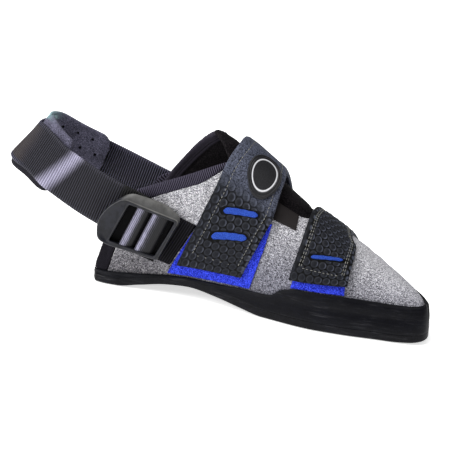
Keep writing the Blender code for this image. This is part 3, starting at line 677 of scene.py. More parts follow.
soleSet = {
    "profile": [  # in from the edge, up from the underside
        (1.5, 0.0), (0.7, 0.12), (0.2, 0.5), (0.0, 1.1), (0.0, 2.0), (0.04, 3.0), (0.06, 3.8), (0.05, 4.5),
        (0.07, 4.85), (0.16, 4.97), (0.8, 5.0), (3.4, 5.0),
    ],
    "heelEnd": 12.0,
    "toeStart": 195.0,
    "backCorner": (1.0, -1.6),  # way of the outline at its square back corners
    "capRows": 16,
    "insoleInset": 6.2,
    "insoleThick": 2.5,
    "insoleDish": 0.5,
    "insoleLift": 0.05,
    "insoleRun": (3.0, 190.0),  # its back end, and where its stations draw closer
}


def makeSole():
    heel, toe, length = soleSet["heelEnd"], soleSet["toeStart"], shoe["length"]
    forward = np.concatenate([
        spaced(0, heel, 14, 0.6)[:-1], np.linspace(heel, toe, 110)[:-1], spaced(toe, length, 46, 2.0)
    ])
    count = len(forward)
    half = np.sqrt(np.maximum(outlineSquare(forward), 0))
    near, far = (np.stack([forward, outlineCentre(forward) + side * half], -1) for side in (inner, outer))
    loop = np.concatenate([near, far[-2::-1]])
    ahead = np.roll(loop, -1, 0) - np.roll(loop, 1, 0)
    turnX, turnY = soleSet["backCorner"]
    ahead[0], ahead[-1] = (turnX, turnY), (-turnX, turnY)
    inward = unit(np.stack([-ahead[:, 1], ahead[:, 0]], -1))
    rings = []
    for inset, height in soleSet["profile"]:
        ring = loop + inward * inset
        rings.append(np.column_stack([ring, underside(ring[:, 0]) + height]))
    points = list(rings)
    index = np.arange(len(rings) * len(loop)).reshape(len(rings), -1)
    faces = gridFaces(index.T, closed=True).tolist()
    start = index.size
    opposite = len(loop) - 1 - np.arange(count)
    for level, turned in ((0, True), (-1, False)):  # underside and top
        ring, numbers = rings[level], index[level]
        grid = [numbers[:count]]
        for share in np.linspace(0, 1, soleSet["capRows"] + 1)[1:-1]:
            row = ring[:count] + (ring[opposite] - ring[:count]) * share
            row[:, 2] = underside(row[:, 0]) + soleSet["profile"][level][1]
            points.append(row)
            grid.append(start + np.arange(count))
            start += count
        grid = np.stack([*grid, numbers[opposite]], 1)
        cap = [list(dict.fromkeys(face)) for face in gridFaces(grid).tolist()] + [grid[0].tolist()[::-1]]
        faces += [face[::-1] if turned else face for face in cap if len(face) > 2]
    body = mergedBody(np.concatenate(points), faces, closed=True)
    return makePiece("sole", *body, [soleRubber], "outsole", "black_rubber", sharp=50)


def makeInsole():
    inset, thick = soleSet["insoleInset"], soleSet["insoleThick"]
    back, toe = soleSet["insoleRun"]
    end = shoe["length"] - inset - shoe["gap"]
    stations = np.concatenate([np.linspace(back, toe, 90)[:-1], spaced(toe, end, 24, 1.8)])
    centre, half = planInset(inset)(stations)
    share = np.linspace(-1, 1, 25)
    x = stations[:, None] + 0 * share
    y = centre[:, None] + half[:, None] * share
    low = feather(x) + soleSet["insoleLift"]
    dish = soleSet["insoleDish"] * (1 - share**2) * ease(0, 30, x)
    top, under = (np.stack([x, y, height], -1) for height in (low + thick - dish, low))
    return shellPiece("insole_cloth", top, under, insoleCloth, (x, y, 0), "insole", "insole_board", 2, 0.4)


makeSole()
makeInsole()
print("sole and insole made")

upperSet = {
    "rows": 64,
    "back": [10.4, 10.9, 11.6, 12.3, 13.2, 14.2],  # close stations at the back edge
    "runs": [(88.0, 70), (119.0, 26), (140.0, 26), (204.0, 56)],  # where a run of stations ends, and their count
    "toeRun": (34, 1.8),
    "wrinkle": 0.5,
    "archFold": ((60.0, 22.0), (26.0, 9.0)),  # middle and spread along, then up
    "flexFold": (172.0, 9.0),
    "calm": (0.0, 0.1, 0.92, 1.0),  # shares of the height over which the folds come and go
    "calmToe": (208.0, 196.0),
}
randSet = {
    "back": 0.8,
    "join": 14.0,  # from here it has the stations of the wall
    "rows": 28,
    "lift": 0.45,
    "wall": 1.9,
    "foot": (2.25, 0.4),  # thickness at the foot, up to this share of the height
    "thinTop": (0.6, 0.82),  # how much thinner, from this share
    "thinBack": (0.4, 10.0),  # part of the thickness at the back end, up to this x
    "valley": (0.75, 0.46, 0.17),  # depth, then middle and spread as shares of the height
    "valleyRun": (119.0, 132.0, 198.0, 212.0),
    "drop": 0.5,
}


def wallStations(start):
    stations = []
    for end, count in upperSet["runs"]:
        stations.append(np.linspace(start, end, count)[:-1])
        start = end
    return np.concatenate([*stations, spaced(start, shoe["length"] - shoe["upperInset"], *upperSet["toeRun"])])


def feltFolds(points):
    # soft hollows and swells of the felt, in millimetres
    x, y, z = np.moveaxis(points, -1, 0)
    along, up = upperSet["archFold"]
    waves = np.sin(x * 0.11 + z * 0.05) * np.sin(z * 0.16 - x * 0.03 + y * 0.02)
    arch = bell(x, *along) * bell(z, *up) * np.sin((x + z) * 0.32)
    flex = bell(x, *upperSet["flexFold"]) * np.sin(x * 0.55 - 0.8) * ease(26, 34, z)
    return upperSet["wrinkle"] * (0.35 * waves + 0.5 * arch + 0.45 * flex)


def makeUpper():
    *back, start = upperSet["back"]
    v = np.linspace(0, 1, upperSet["rows"])
    x = np.concatenate([back, wallStations(start)])[:, None] + 0 * v
    keep = between(upperSet["calm"], v) * ease(*upperSet["calmToe"], x)
    quads = gridFaces(np.arange(x.size).reshape(x.shape))
    points = []
    for side in (inner, outer):
        grid = lastPoint(x, side, feltTopAngle(x, side) * v)
        points.append(lifted(grid, outwardFrom(grid), feltFolds(grid) * keep).reshape(-1, 3))
    faces = np.concatenate([quads, quads[:, ::-1] + x.size]).tolist()
    body = mergedBody(np.concatenate(points), faces)
    piece = makePiece("felt_upper", *body, [felt, lining], "upper", "grey_felt")
    wall = piece.modifiers.new("wall", "SOLIDIFY")
    wall.thickness = shoe["feltWall"] * 0.001
    wall.offset = -1.0
    wall.use_even_offset = wall.use_quality_normals = True
    wall.material_offset = 1
    return piece


def makeRand():
    join = randSet["join"]
    stations = np.concatenate([np.linspace(randSet["back"], join, 14)[:-1], wallStations(join)])
    # one grid round the toe: forward along the inner side, back along the outer
    x = np.concatenate([stations, stations[-2::-1]])[:, None]
    side = np.repeat([inner, outer], [len(stations), len(stations) - 1])[:, None]
    v = np.linspace(0, 1, randSet["rows"])
    low = angleAtHeight(x, feather(x) + shoe["gap"])
    grid = lastPoint(x, side, low + (angleAtHeight(x, randHeight(x)) - low) * v)
    normals = outwardFrom(grid)
    grid[:, 0, 2] -= randSet["drop"]  # its foot stands on the sole
    depth, *hollow = randSet["valley"]
    valley = depth * bell(v, *hollow) * between(randSet["valleyRun"], x)
    (foot, footTo), (thin, thinFrom), (back, backTo) = (randSet[key] for key in ("foot", "thinTop", "thinBack"))
    thick = randSet["wall"] + (foot - randSet["wall"]) * ease(footTo, 0.0, v) - thin * ease(thinFrom, 1.0, v)
    thick = thick * (back + (1 - back) * ease(0, backTo, x))
    top = lifted(grid, normals, randSet["lift"] + thick - valley)
    under = lifted(grid, normals, randSet["lift"])
    flat = grid[..., 0], grid[..., 2], 0
    return shellPiece("toe_rand", top, under, randRubber, flat, "rand", "black_rubber", 3, 0.12)


makeUpper()
makeRand()
print("upper and rand made")

tapeSet = {
    "back": 0.9,
    "bend": 30.0,
    "columns": (150, 200),  # before and after the bend
    "rows": 18,
    "proud": 0.9,
    "crown": 0.45,
    "ripple": 0.1,
    "pitch": 1.15,
    "slant": 0.35,
}
tongueSet = {
    "rows": [  # girth from the ridge, back and front edge
        (-0.48, 88.0, 128.0), (-0.25, 78.0, 138.0), (-0.10, 70.5, 142.0), (0.02, 66.2, 142.5), (0.12, 64.9, 142.5),
        (0.24, 61.0, 140.0), (0.42, 51.1, 132.0), (0.56, 41.0, 120.0), (0.70, 28.8, 108.0), (0.78, 22.6, 102.0),
    ],
    "ease": 0.9,
    "mesh": (100, 112),
    "swells": [  # height, degrees in from the felt where it rises, and where it comes and goes along x
        (2.4, (8, 18), (94, 108, 126, 136)), (1.7, (16, 30), (62, 70, 82, 90)),
    ],
    "wall": 3.0,
    "hem": 5.6,
    "hemProud": 0.45,
    "ribs": (0.07, 0.8, 1.2),  # height, slant, pitch
    "lines": (2.2, 4.2, 8.2),
}


def makeTape(name, side, node):
    bend, end = tapeSet["bend"], shoe["bindingEnd"]
    before, after = tapeSet["columns"]
    stations = np.concatenate([np.linspace(tapeSet["back"], bend, before)[:-1], np.linspace(bend, end, after)])
    v = np.linspace(0, 1, tapeSet["rows"])
    x = stations[:, None] + 0 * v
    low = np.maximum(bindingAngle(x), angleAtHeight(x, randHeight(x) + shoe["gap"]))
    grid = lastPoint(x, side, low + (collarAngle(x) - low) * v)
    along, across = arcLength(grid, 0)[:, -1:], arcLength(grid, 1)
    ribs = np.sin((along + across * tapeSet["slant"]) * 2 * math.pi / tapeSet["pitch"])
    crown = 1 - tapeSet["crown"] * np.abs(2 * v - 1) ** 3
    high = tapeSet["proud"] * crown + tapeSet["ripple"] * ribs
    return skinPiece(name, grid, -shoe["feltWall"], high, tape, (along, across, 0), node, "black_tape", 4, 0.75)


def makeTongue():
    back, front = (curveThrough(tongueSet["rows"], k) for k in (1, 2))
    columns, lines = tongueSet["mesh"]
    girth = np.linspace(tongueSet["rows"][0][0], tongueSet["rows"][-1][0], lines)
    u = np.linspace(0, 1, columns)[:, None]
    x = back(girth) + (front(girth) - back(girth)) * u
    grid = girthPoint(x, girth + 0 * u)
    along, across = arcLength(grid, 1)[:1], arcLength(grid, 0)
    hem = (1 - ease(tongueSet["hem"], tongueSet["hem"] + 0.7, across)) * ease(0.0, 0.12, girth)
    line = sum(bell(across, inset, 0.35) for inset in tongueSet["lines"])
    bare = 90 * (1 - np.abs(girth)) - np.where(girth < 0, feltTopAngle(x, inner), feltTopAngle(x, outer))
    swell = sum(height * ease(*rise, bare) * between(run, x) for height, rise, run in tongueSet["swells"])
    sink = swell - shoe["feltWall"] - tongueSet["ease"]
    rib, slant, pitch = tongueSet["ribs"]
    ribs = rib * hem * np.sin((along + across * slant) * 2 * math.pi / pitch)
    high = sink + tongueSet["hemProud"] * hem - 0.25 * line + ribs
    low = sink - tongueSet["wall"] - 0.3 * hem + 0.4 * line - ribs
    flat = along, across, hem - 0.8 * line * hem
    return skinPiece("lined_tongue", grid, low, high, tongueCloth, flat, "tongue", "black_lining", 4, 0.9)


makeTape("inner_tape", inner, "inner_collar_binding")
makeTape("outer_tape", outer, "outer_collar_binding")
makeTongue()
print("tapes and tongue made")

panelSet = {
    "wall": 1.2,
    "fluff": 0.28,
    "instep": [  # share of the height, back and front edge
        (0.00, 50.0, 105.2), (0.20, 58.6, 107.5), (0.40, 65.8, 109.6), (0.57, 71.8, 111.2), (1.00, 83.6, 113.4),
    ],
    "instepFoot": [(47, 13.6), (50, 13.7), (65, 14.1), (82, 14.6), (106, 15.5), (114, 15.6)],
    "instepTop": 45.0,
    "forefoot": [(0.0, 132.2, 164.4), (0.5, 135.4, 163.4), (1.0, 137.0, 163.0)],
    "forefootLift": 0.8,  # above the rand
    "forefootTop": 57.0,
    "seed": 11,
}


def softNoise(shape, seed, passes):
    # even random heights, smoothed a little, from -1 to 1
    field = np.random.default_rng(seed).uniform(-1, 1, shape)
    for _ in range(passes):
        field = (field + sum(np.roll(field, shift, axis) for axis in (0, 1) for shift in (1, -1))) / 5
    return field / np.abs(field).max()


def makePanel(name, rows, foot, topAngle, node, columns, lines):
    back, front = (curveThrough(rows, k) for k in (1, 2))
    v = np.linspace(0, 1, lines)
    u = np.linspace(0, 1, columns)[:, None]
    x = back(v) + (front(v) - back(v)) * u
    low = angleAtHeight(x, foot(x))
    grid = lastPoint(x, inner, low + (topAngle - low) * v)
    rough = softNoise(x.shape, panelSet["seed"], 1) * 0.7 + softNoise(x.shape, panelSet["seed"] + 1, 6) * 0.5
    rim = np.minimum(np.minimum(u, 1 - u), np.minimum(v, 1 - v))
    height = panelSet["wall"] * (0.7 + 0.3 * ease(0, 0.04, rim)) + panelSet["fluff"] * rough
    flat = arcLength(grid, 0), arcLength(grid, 1), rough
    return skinPiece(name, grid, shoe["gap"], shoe["gap"] + height, pile, flat, node, "blue_loop", 2, 0.8)


makePanel(
    "instep_pile", panelSet["instep"], curveThrough(panelSet["instepFoot"], 1), panelSet["instepTop"],
    "instep_loop_panel", 130, 96,
)
makePanel(
    "forefoot_pile", panelSet["forefoot"], lambda x: randHeight(x) + panelSet["forefootLift"],
    panelSet["forefootTop"], "forefoot_loop_panel", 100, 70,
)
print("loop panels made")

strapSet = {
    "wall": 2.8,
    "bubble": (0.62, 5.6),  # height of a bubble, at this pitch
    "plainOver": 14.0,  # the bubbles fade out over this length
    "groove": (0.55, 0.3),  # half width and depth of a seam
    "roundEdge": (0.55, 1.6),  # how far the edges fall, over this width
    "footRise": (0.026, 78.0),  # the inner ends lie lower at the back, for each mm from here
    "stitch": (1.7, 0.8, 0.16),  # length, space, radius
    "sewnRows": (3.0, 6.0),  # rows of stitches in from the outer end
    "markRise": 0.5,
    "markDeep": 0.8,
    "markSpan": 38.0,  # width of strap that the marks are drawn for
}
strapParts = {
    "instep": {
        "rows": [  # share, centre, half width, lift at the back, lift at the front
            (-1.00, 78.3, 21.5, 1.9, 1.9), (-0.77, 88.6, 19.4, 1.9, 2.0), (-0.49, 95.6, 17.9, 2.1, 2.9),
            (-0.16, 96.8, 14.9, 2.2, 4.0), (0.00, 95.6, 13.9, 2.0, 3.8), (0.14, 93.8, 12.9, 2.0, 3.6),
            (0.50, 95.0, 14.0, 1.6, 3.0), (1.00, 98.0, 17.0, 0.6, 0.6),
        ],
        "ends": (21.1, 20.0),
        "thin": 0.0,  # how much thinner it is over the crest
        "seams": {"back": [6.3], "front": [4.0], "end": 7.5, "plainFrom": 46.0, "pitch": 5.6, "border": 0.75},
        "marks": [  # start, end, half width
            ((-0.678, 0.295), (-0.586, 0.785), 1.5), ((-0.833, 0.305), (-0.767, 0.81), 1.5),
        ],
        "mesh": (400, 84),
        "finish": instepHide,
    },
    "forefoot": {
        "rows": [
            (-1.00, 148.2, 16.7, 1.9, 1.9), (-0.62, 149.2, 15.3, 1.9, 1.9), (-0.18, 148.2, 15.1, 0.6, 0.5),
            (0.05, 145.6, 13.0, 0.4, 0.3), (0.30, 143.6, 11.6, 0.4, 0.3), (1.00, 145.0, 14.0, 0.6, 0.6),
        ],
        "ends": (25.8, 27.0),
        "thin": 1.0,
        "seams": {
            "back": [3.4, 4.7], "front": [2.8, 4.0], "end": 6.2, "plainFrom": 300.0, "pitch": 4.7, "border": 0.4,
        },
        "marks": [((-0.728, 0.263), (-0.628, 0.81), 0.8)],
        "mesh": (290, 76),
        "finish": forefootHide,
    },
}


class Strap:
    def __init__(self, parts):
        self.parts, self.seams, self.marks = parts, parts["seams"], parts["marks"]
        self.centre, self.half, self.back, self.front = (curveThrough(parts["rows"], k) for k in range(1, 5))
        share = np.linspace(-1, 0, 60)
        self.length = arcLength(self.grid(share, 0.5)[0], 0)[-1]  # for one unit of share, on the inner side

    def grid(self, share, across):
        x = self.centre(share) + self.half(share) * (2 * across - 1)
        rise, riseFrom = strapSet["footRise"]
        foot, outerFoot = self.parts["ends"]
        low = angleAtHeight(x, np.where(share < 0, foot + rise * (x - riseFrom), outerFoot))
        base = lastPoint(x, np.where(share < 0, inner, outer), 90 + (low - 90) * np.abs(share))
        return base, self.back(share) + (self.front(share) - self.back(share)) * across

    def wall(self, share):
        return strapSet["wall"] - self.parts["thin"] * ease(-0.6, -0.1, share)

    def width(self, share):
        return self.half(share) * 2.1

    def markWay(self, start, end):
        # from one end of a mark to the other, in millimetres along and across
        return np.array([(end[0] - start[0]) * self.length, (end[1] - start[1]) * strapSet["markSpan"]])

    def markDistance(self, share, across):
        # millimetres from the nearest blue mark, less its half width
        best = 99.0
        for start, end, half in self.marks:
            way = self.markWay(start, end)
            toX, toY = (share - start[0]) * self.length, (across - start[1]) * self.width(share)
            t = np.clip((toX * way[0] + toY * way[1]) / (way @ way), 0, 1)
            best = np.minimum(best, np.hypot(toX - way[0] * t, toY - way[1] * t) - half)
        return best


def bubbleField(along, across, pitch):
    # 1 on top of a bubble, 0 between them
    line = pitch * 0.87
    best = 9.0
    for shift in (-1, 0, 1):
        row = np.round(along / line - 0.5) + shift
        half = np.mod(row, 2) * 0.5
        column = np.round(across / pitch - half) + half
        best = np.minimum(best, np.hypot(across - column * pitch, along - (row + 0.5) * line))
    return np.clip(1 - (best / (0.49 * pitch)) ** 2, 0, 1) ** 0.75


def makeStrap(name, strap):
    seams, (columns, lines) = strap.seams, strap.parts["mesh"]
    share = np.linspace(-1, 1, columns)[:, None]
    across = np.linspace(0, 1, lines)
    base, lift = strap.grid(share, across)
    normals = outwardFrom(base)
    along = arcLength(base, 0)[:, [lines // 2]]
    width = arcLength(base, 1)
    fromFront = width[:, -1:] - width
    side = np.minimum(width, fromFront)
    end, border, pitch = seams["end"], seams["border"], seams["pitch"]
    inside = 1.0
    seam, seamDeep = strapSet["groove"]
    groove = bell(along, end, seam) * ease(3.5, 4.5, side)
    for reach, insets in ((width, seams["back"]), (fromFront, seams["front"])):
        inside = inside * ease(insets[-1] - 1.0, insets[-1] + 1.0, reach)
        for inset in insets:
            groove = np.maximum(groove, bell(reach, inset, seam) * ease(end - 0.5, end, along))
    strength = np.maximum(border + (1 - border) * inside, ease(end + 1.5, end - 1.5, along))
    strength = strength * (1 - 0.8 * ease(seams["plainFrom"], seams["plainFrom"] + strapSet["plainOver"], along))
    strength = strength * ease(0.4, 1.5, strap.markDistance(share, across))
    bubbles = bubbleField(along, width - width[:, -1:] / 2, pitch) * strength
    height, heightPitch = strapSet["bubble"]
    fall, fallOver = strapSet["roundEdge"]
    rise = height * pitch / heightPitch * bubbles * (1 - 0.6 * groove) - seamDeep * groove
    rise = rise - fall * ease(fallOver, 0.0, np.minimum(side, along))
    face = lift + strap.wall(share)
    shellPiece(
        f"{name}_band", lifted(base, normals, face + rise), lifted(base, normals, lift), strap.parts["finish"],
        (along, width, bubbles), f"{name}_strap", "embossed_strap", 4, 0.45,
    )
    return lifted(base, normals, face), normals, width, along[:, 0]


def makeMark(name, strap, start, end, half):
    # a blue inlay that stands a little proud between the bubbles
    u = np.linspace(0, 1, 64)[:, None]
    v = np.linspace(-1, 1, 14)
    ahead, aside = unit(strap.markWay(start, end))
    slim = half * np.clip(1 - np.abs(2 * u - 1) ** 9, 0.12, 1) ** 0.5 * (1 + 0.06 * np.sin(u * 23))
    share = start[0] + (end[0] - start[0]) * u - v * slim * aside / strap.length
    across = start[1] + (end[1] - start[1]) * u + v * slim * ahead / strap.width(share)
    base, lift = strap.grid(share, across)
    face = lift + strap.wall(share)
    high = face + strapSet["markRise"] + 0.25 * (1 - v**2)
    flat = arcLength(base, 0), arcLength(base, 1), 0
    return skinPiece(name, base, face - strapSet["markDeep"], high, blueInlay, flat, None, "blue_loop", 3, 0.5)


def capsules(paths, radius, sides=6):
    # short round-ended threads along little paths
    points, faces, start = [], [], 0
    turn = np.linspace(0, 2 * math.pi, sides, endpoint=False)[:, None]
    for path, outwards in paths:
        ahead = unit(np.gradient(path, axis=0))
        left = unit(np.cross(outwards, ahead))
        top = np.cross(ahead, left)
        swell = np.sqrt(np.clip(1 - np.abs(np.linspace(-1, 1, len(path))) ** 4, 0.08, 1)) * radius
        for k, spot in enumerate(path):
            points.append(spot + (np.cos(turn) * left[k] * 1.25 + np.sin(turn) * top[k]) * swell[k])
        index = start + np.arange(len(path) * sides).reshape(-1, sides)
        faces += gridFaces(index.T, closed=True).tolist() + [index[0][::-1].tolist(), index[-1].tolist()]
        start += index.size
    return np.concatenate(points), faces


def stitchLine(line, outwards, stitch, steps=5):
    # cuts a line of points into stitches that dip at their ends
    length, space, radius = stitch
    run = arcLength(line, 0)
    paths = []
    at = space
    while at + length < run[-1]:
        spots = np.linspace(at, at + length, steps)
        path, away = (
            np.stack([np.interp(spots, run, part[:, k]) for k in range(3)], -1) for part in (line, outwards)
        )
        away = unit(away)
        dip = radius * (0.35 - 1.1 * np.abs(np.linspace(-1, 1, steps)) ** 3)
        paths.append((lifted(path, away, dip), away))
        at += length + space
    return paths


def seamAlong(face, normals, reach, inset):
    # the line on a strap's face at a distance from one long edge, and its directions off the face
    line = []
    for points, outwards, distance in zip(face, normals, reach):
        order = np.argsort(distance)
        both = np.hstack([points, outwards])[order]
        line.append([np.interp(inset, distance[order], both[:, k]) for k in range(6)])
    return np.hsplit(np.array(line), 2)


def makeStitches(name, strap, face, normals, width, along):
    seams, stitch = strap.seams, strapSet["stitch"]
    first = int(np.searchsorted(along, seams["end"]))
    paths = []
    for reach, insets in ((width, seams["back"]), (width[:, -1:] - width, seams["front"])):
        for inset in insets:
            paths += stitchLine(*seamAlong(face[first:], normals[first:], reach[first:], inset), stitch)
    cut = (width[first] > seams["back"][-1]) & (width[first] < width[first, -1] - seams["front"][-1])
    paths += stitchLine(face[first][cut], normals[first][cut], stitch)
    for inset in strapSet["sewnRows"]:
        last = int(np.searchsorted(along, along[-1] - inset))
        paths += stitchLine(face[last][4:-4], normals[last][4:-4], stitch)
    return makePiece(f"{name}_stitches", *capsules(paths, stitch[2]), [paleThread], slot="embossed_strap")


straps = {name: Strap(parts) for name, parts in strapParts.items()}
strapFaces = {name: makeStrap(name, strap) for name, strap in straps.items()}
for name, strap in straps.items():
    makeStitches(name, strap, *strapFaces[name])
for name, strap in straps.items():
    for k, mark in enumerate(strap.marks):
        makeMark(f"{name}_mark_{k + 1}", strap, *mark)
print("straps made")

badgeSet = {
    "x": 100.7,
    "share": -0.262,
    "sharePerMm": 0.0187,
    "squeeze": 0.84,
    "radius": 11.4,
    "wall": 1.152,
    "ring": (0.66, 0.69, 0.73, 0.76),  # shares of the radius over which it rises and falls
    "lip": (0.76, 0.79),
    "lipGroove": (0.86, 0.88, 0.89, 0.91),
}
labelSet = {
    "corner": (113.6, -0.455),  # x and girth
    "along": (14.5, 0.055),
    "up": (-1.0, 0.15),
    "wall": 0.6,
    "hem": 1.2,
}


def makeBadge():
    u = np.linspace(-1, 1, 110)[:, None]
    v = u.T
    a, b = u * np.sqrt(1 - v**2 / 2), v * np.sqrt(1 - u**2 / 2)  # a square grid drawn out to a disc
    reach = np.hypot(a, b)
    strap = straps["instep"]
    x = badgeSet["x"] + badgeSet["radius"] * a * badgeSet["squeeze"]
    share = badgeSet["share"] + badgeSet["radius"] * b * badgeSet["sharePerMm"]
    base, lift = strap.grid(share, (x - strap.centre(share)) / strap.half(share) / 2 + 0.5)
    ring = between(badgeSet["ring"], reach)
    lip = ease(*badgeSet["lip"], reach) * (1 - 0.7 * between(badgeSet["lipGroove"], reach))
    foot = lift + strapSet["wall"] + shoe["gap"]
    high = foot + badgeSet["wall"] + 0.4 * lip + 0.2 * ring - 0.5 * ease(0.95, 1.0, reach)
    return skinPiece("plain_badge", base, foot, high, badgeRubber, (a, b, ring), "badge", "badge_rubber", 3, 0.6)


def makeLabel():
    u = np.linspace(0, 1, 50)[:, None]
    v = np.linspace(0, 1, 46)
    x, girth = (
        start + along * u + up * v for start, along, up in zip(labelSet["corner"], labelSet["along"], labelSet["up"])
    )
    grid = girthPoint(x, girth)
    along, across = arcLength(grid, 0), arcLength(grid, 1)
    hem = bell(across, labelSet["hem"], 0.3)
    high = shoe["gap"] + labelSet["wall"] - 0.15 * hem + 0.03 * np.sin(along * 9)
    flat = along, across, hem
    return skinPiece("bare_label", grid, shoe["gap"], high, wovenLabel, flat, "size_label", "black_tape", 2, 0.7)


makeBadge()
makeLabel()
print("badge and label made")

webSet = {
    "width": 30.0,
    "wall": 1.8,
    "lean": 18.0,
    "leanIn": 0.003,
    "underBuckle": [(34.0, 43.6), (22.0, 47.8), (10.0, 51.8)],  # x and height on the inner side
    "free": [  # place and lean of the free part, round behind the heel
        (-10, -26.0, 58.8, 21), (-32, -20.5, 67.2, 29), (-51, -13.0, 76.8, 37), (-62.2, -1.0, 79.6, 41),
        (-55, 11.5, 78.6, 37), (-35, 20.5, 70.0, 27), (-12, 26.5, 60.8, 21),
    ],
    "sewnOuter": [(8.0, 54.0), (22.0, 49.4), (40.0, 44.2), (58.0, 39.6)],
    "grid": (900, 26),
    "ribPitch": 1.6,
    "rib": 0.18,
    "beadPitch": 0.95,
    "proud": 0.9,
    "hump": (1.3, 3.0, 7.0),  # height, place past the pad's end and spread
    "sag": (1.6, -60.0, 11.0),  # depth, x and spread
    "brownReflection": (-61.0, 9.0),  # x and spread of the painted brown reflection
    "shadeTo": 24.0,  # how far it lies in the buckle's shade
    "highlightShift": 3.5,  # place of the painted highlight, back from the pad's end
    "sewnBox": (21.0, 3.0),  # from the outer end
    "stitch": (1.9, 0.7, 0.27),
}
padSet = {
    "grid": (190, 84),
    "width": 37.6,
    "wall": 5.0,
    "ends": (22 / 72, 48 / 72),  # shares of the webbing's route
    "corner": (4.5, 8.0),
    "lip": (1.2, 4.2),  # lower and upper edge, where they swell
    "lipRun": (0, 8, 40, 70),
    "bend": (3.0, 19.0),  # past the loop's end, and spread
    "edge": 5.5,
    "hole": 1.15,
    "holePitch": (11.2, 9.0),
    "holeDeep": 1.5,
    "holesFrom": (2.5, 3.5),  # in from the edge
    "holesThrough": (15.5, 16.5),  # from the middle: beyond the webbing they show on the outside too
    "mesh": (-63.0, 8.5),  # x and spread of the pale mesh
    "meshFrom": (17.0, 19.0),  # from the middle
}


def heelRoute():
    rows = []
    for table, side in ((webSet["underBuckle"], inner), (webSet["free"], None), (webSet["sewnOuter"], outer)):
        for row in table:
            if side:
                here, _, _, outward = surfaceFrame(row[0], side, row[1])
                spot = here + outward * (webSet["proud"] + 2 * shoe["gap"] + webSet["wall"] / 2)
                row = *spot, webSet["lean"]
            rows.append(row)
    return np.array(rows, float)


routeRows = heelRoute()


def routeAt(share):
    at = np.asarray(share) * (len(routeRows) - 1)
    k = np.clip(at.astype(int), 0, len(routeRows) - 2)
    t = (at - k)[..., None]
    a, b, c, d = (routeRows[np.clip(k + i, 0, len(routeRows) - 1)] for i in (-1, 0, 1, 2))
    return 0.5 * (2 * b + (c - a) * t + (2 * a - 5 * b + 4 * c - d) * t**2 + (3 * b - a - 3 * c + d) * t**3)


def bandFrame(first, last, count):
    # evenly spaced along the route: share, length run, place, way across the band and way out of it
    share = np.linspace(first, last, 1500)
    run = arcLength(routeAt(share)[:, :3], 0)
    even = np.linspace(0, run[-1], count)
    share = np.interp(even, run, share)
    here = routeAt(share)
    ahead = unit(routeAt(np.minimum(share + 0.002, 1.0))[:, :3] - routeAt(np.maximum(share - 0.002, 0.0))[:, :3])
    lean = np.radians(here[:, 3])
    up = np.stack([np.sin(lean), -webSet["leanIn"] * here[:, 1], np.cos(lean)], -1)
    across = unit(up - ahead * np.sum(up * ahead, -1, keepdims=True))
    return share, even, here[:, :3], across, np.cross(across, ahead)


def makeWebbing():
    columns, lines = webSet["grid"]
    share, run, here, across, outward = bandFrame(0.0, 1.0, columns)
    b = np.linspace(-1, 1, lines)
    half = webSet["width"] / 2
    selvedge = ease(0.9, 0.94, np.abs(b))
    ribs, beads = (np.sin(run * 2 * math.pi / webSet[key])[:, None] for key in ("ribPitch", "beadPitch"))
    swell = webSet["rib"] * ribs * (1 - selvedge) + 0.08 * beads * selvedge + 0.05 * selvedge
    padEnd = np.interp(padSet["ends"][0], share, run)
    webbing = webbingFinish(
        "black_webbing", dark=(2, 2, 3), light=(50, 49, 61), pitch=webSet["ribPitch"], shadeTo=webSet["shadeTo"],
        highlightAt=padEnd - webSet["highlightShift"],
    )
    high, past, spread = webSet["hump"]
    hump = high * bell(run, padEnd + past, spread)
    sag = webSet["sag"][0] * bell(here[:, 0], *webSet["sag"][1:])
    middle = lifted(here[:, None], across[:, None], b * half - sag[:, None]) + lifted(0, outward, hump)[:, None]
    thick = webSet["wall"] / 2 - 0.1 + swell
    top, under = lifted(middle, outward[:, None], thick), lifted(middle, outward[:, None], -thick)
    # painted brown reflection behind the heel
    brownReflection = bell(here[:, 0], *webSet["brownReflection"])[:, None] * (1 - selvedge)
    flat = run[:, None], b * half, selvedge - brownReflection
    shellPiece("heel_strap", top, under, webbing, flat, "heel_webbing", "black_webbing", 3, 0.9)
    first, last = (int(np.searchsorted(run, run[-1] - inset)) for inset in webSet["sewnBox"])
    low, high = 3, len(b) - 4
    box = [(np.full(high - low, at), np.arange(low, high)) for at in (first, last)]
    box += [(np.arange(first, last), np.full(last - first, at)) for at in (low, high)]
    paths = []
    for along, aside in box:
        paths += stitchLine(top[along, aside], outward[along], webSet["stitch"])
    return makePiece("webbing_stitches", *capsules(paths, webSet["stitch"][2]), [darkThread], slot="black_webbing")


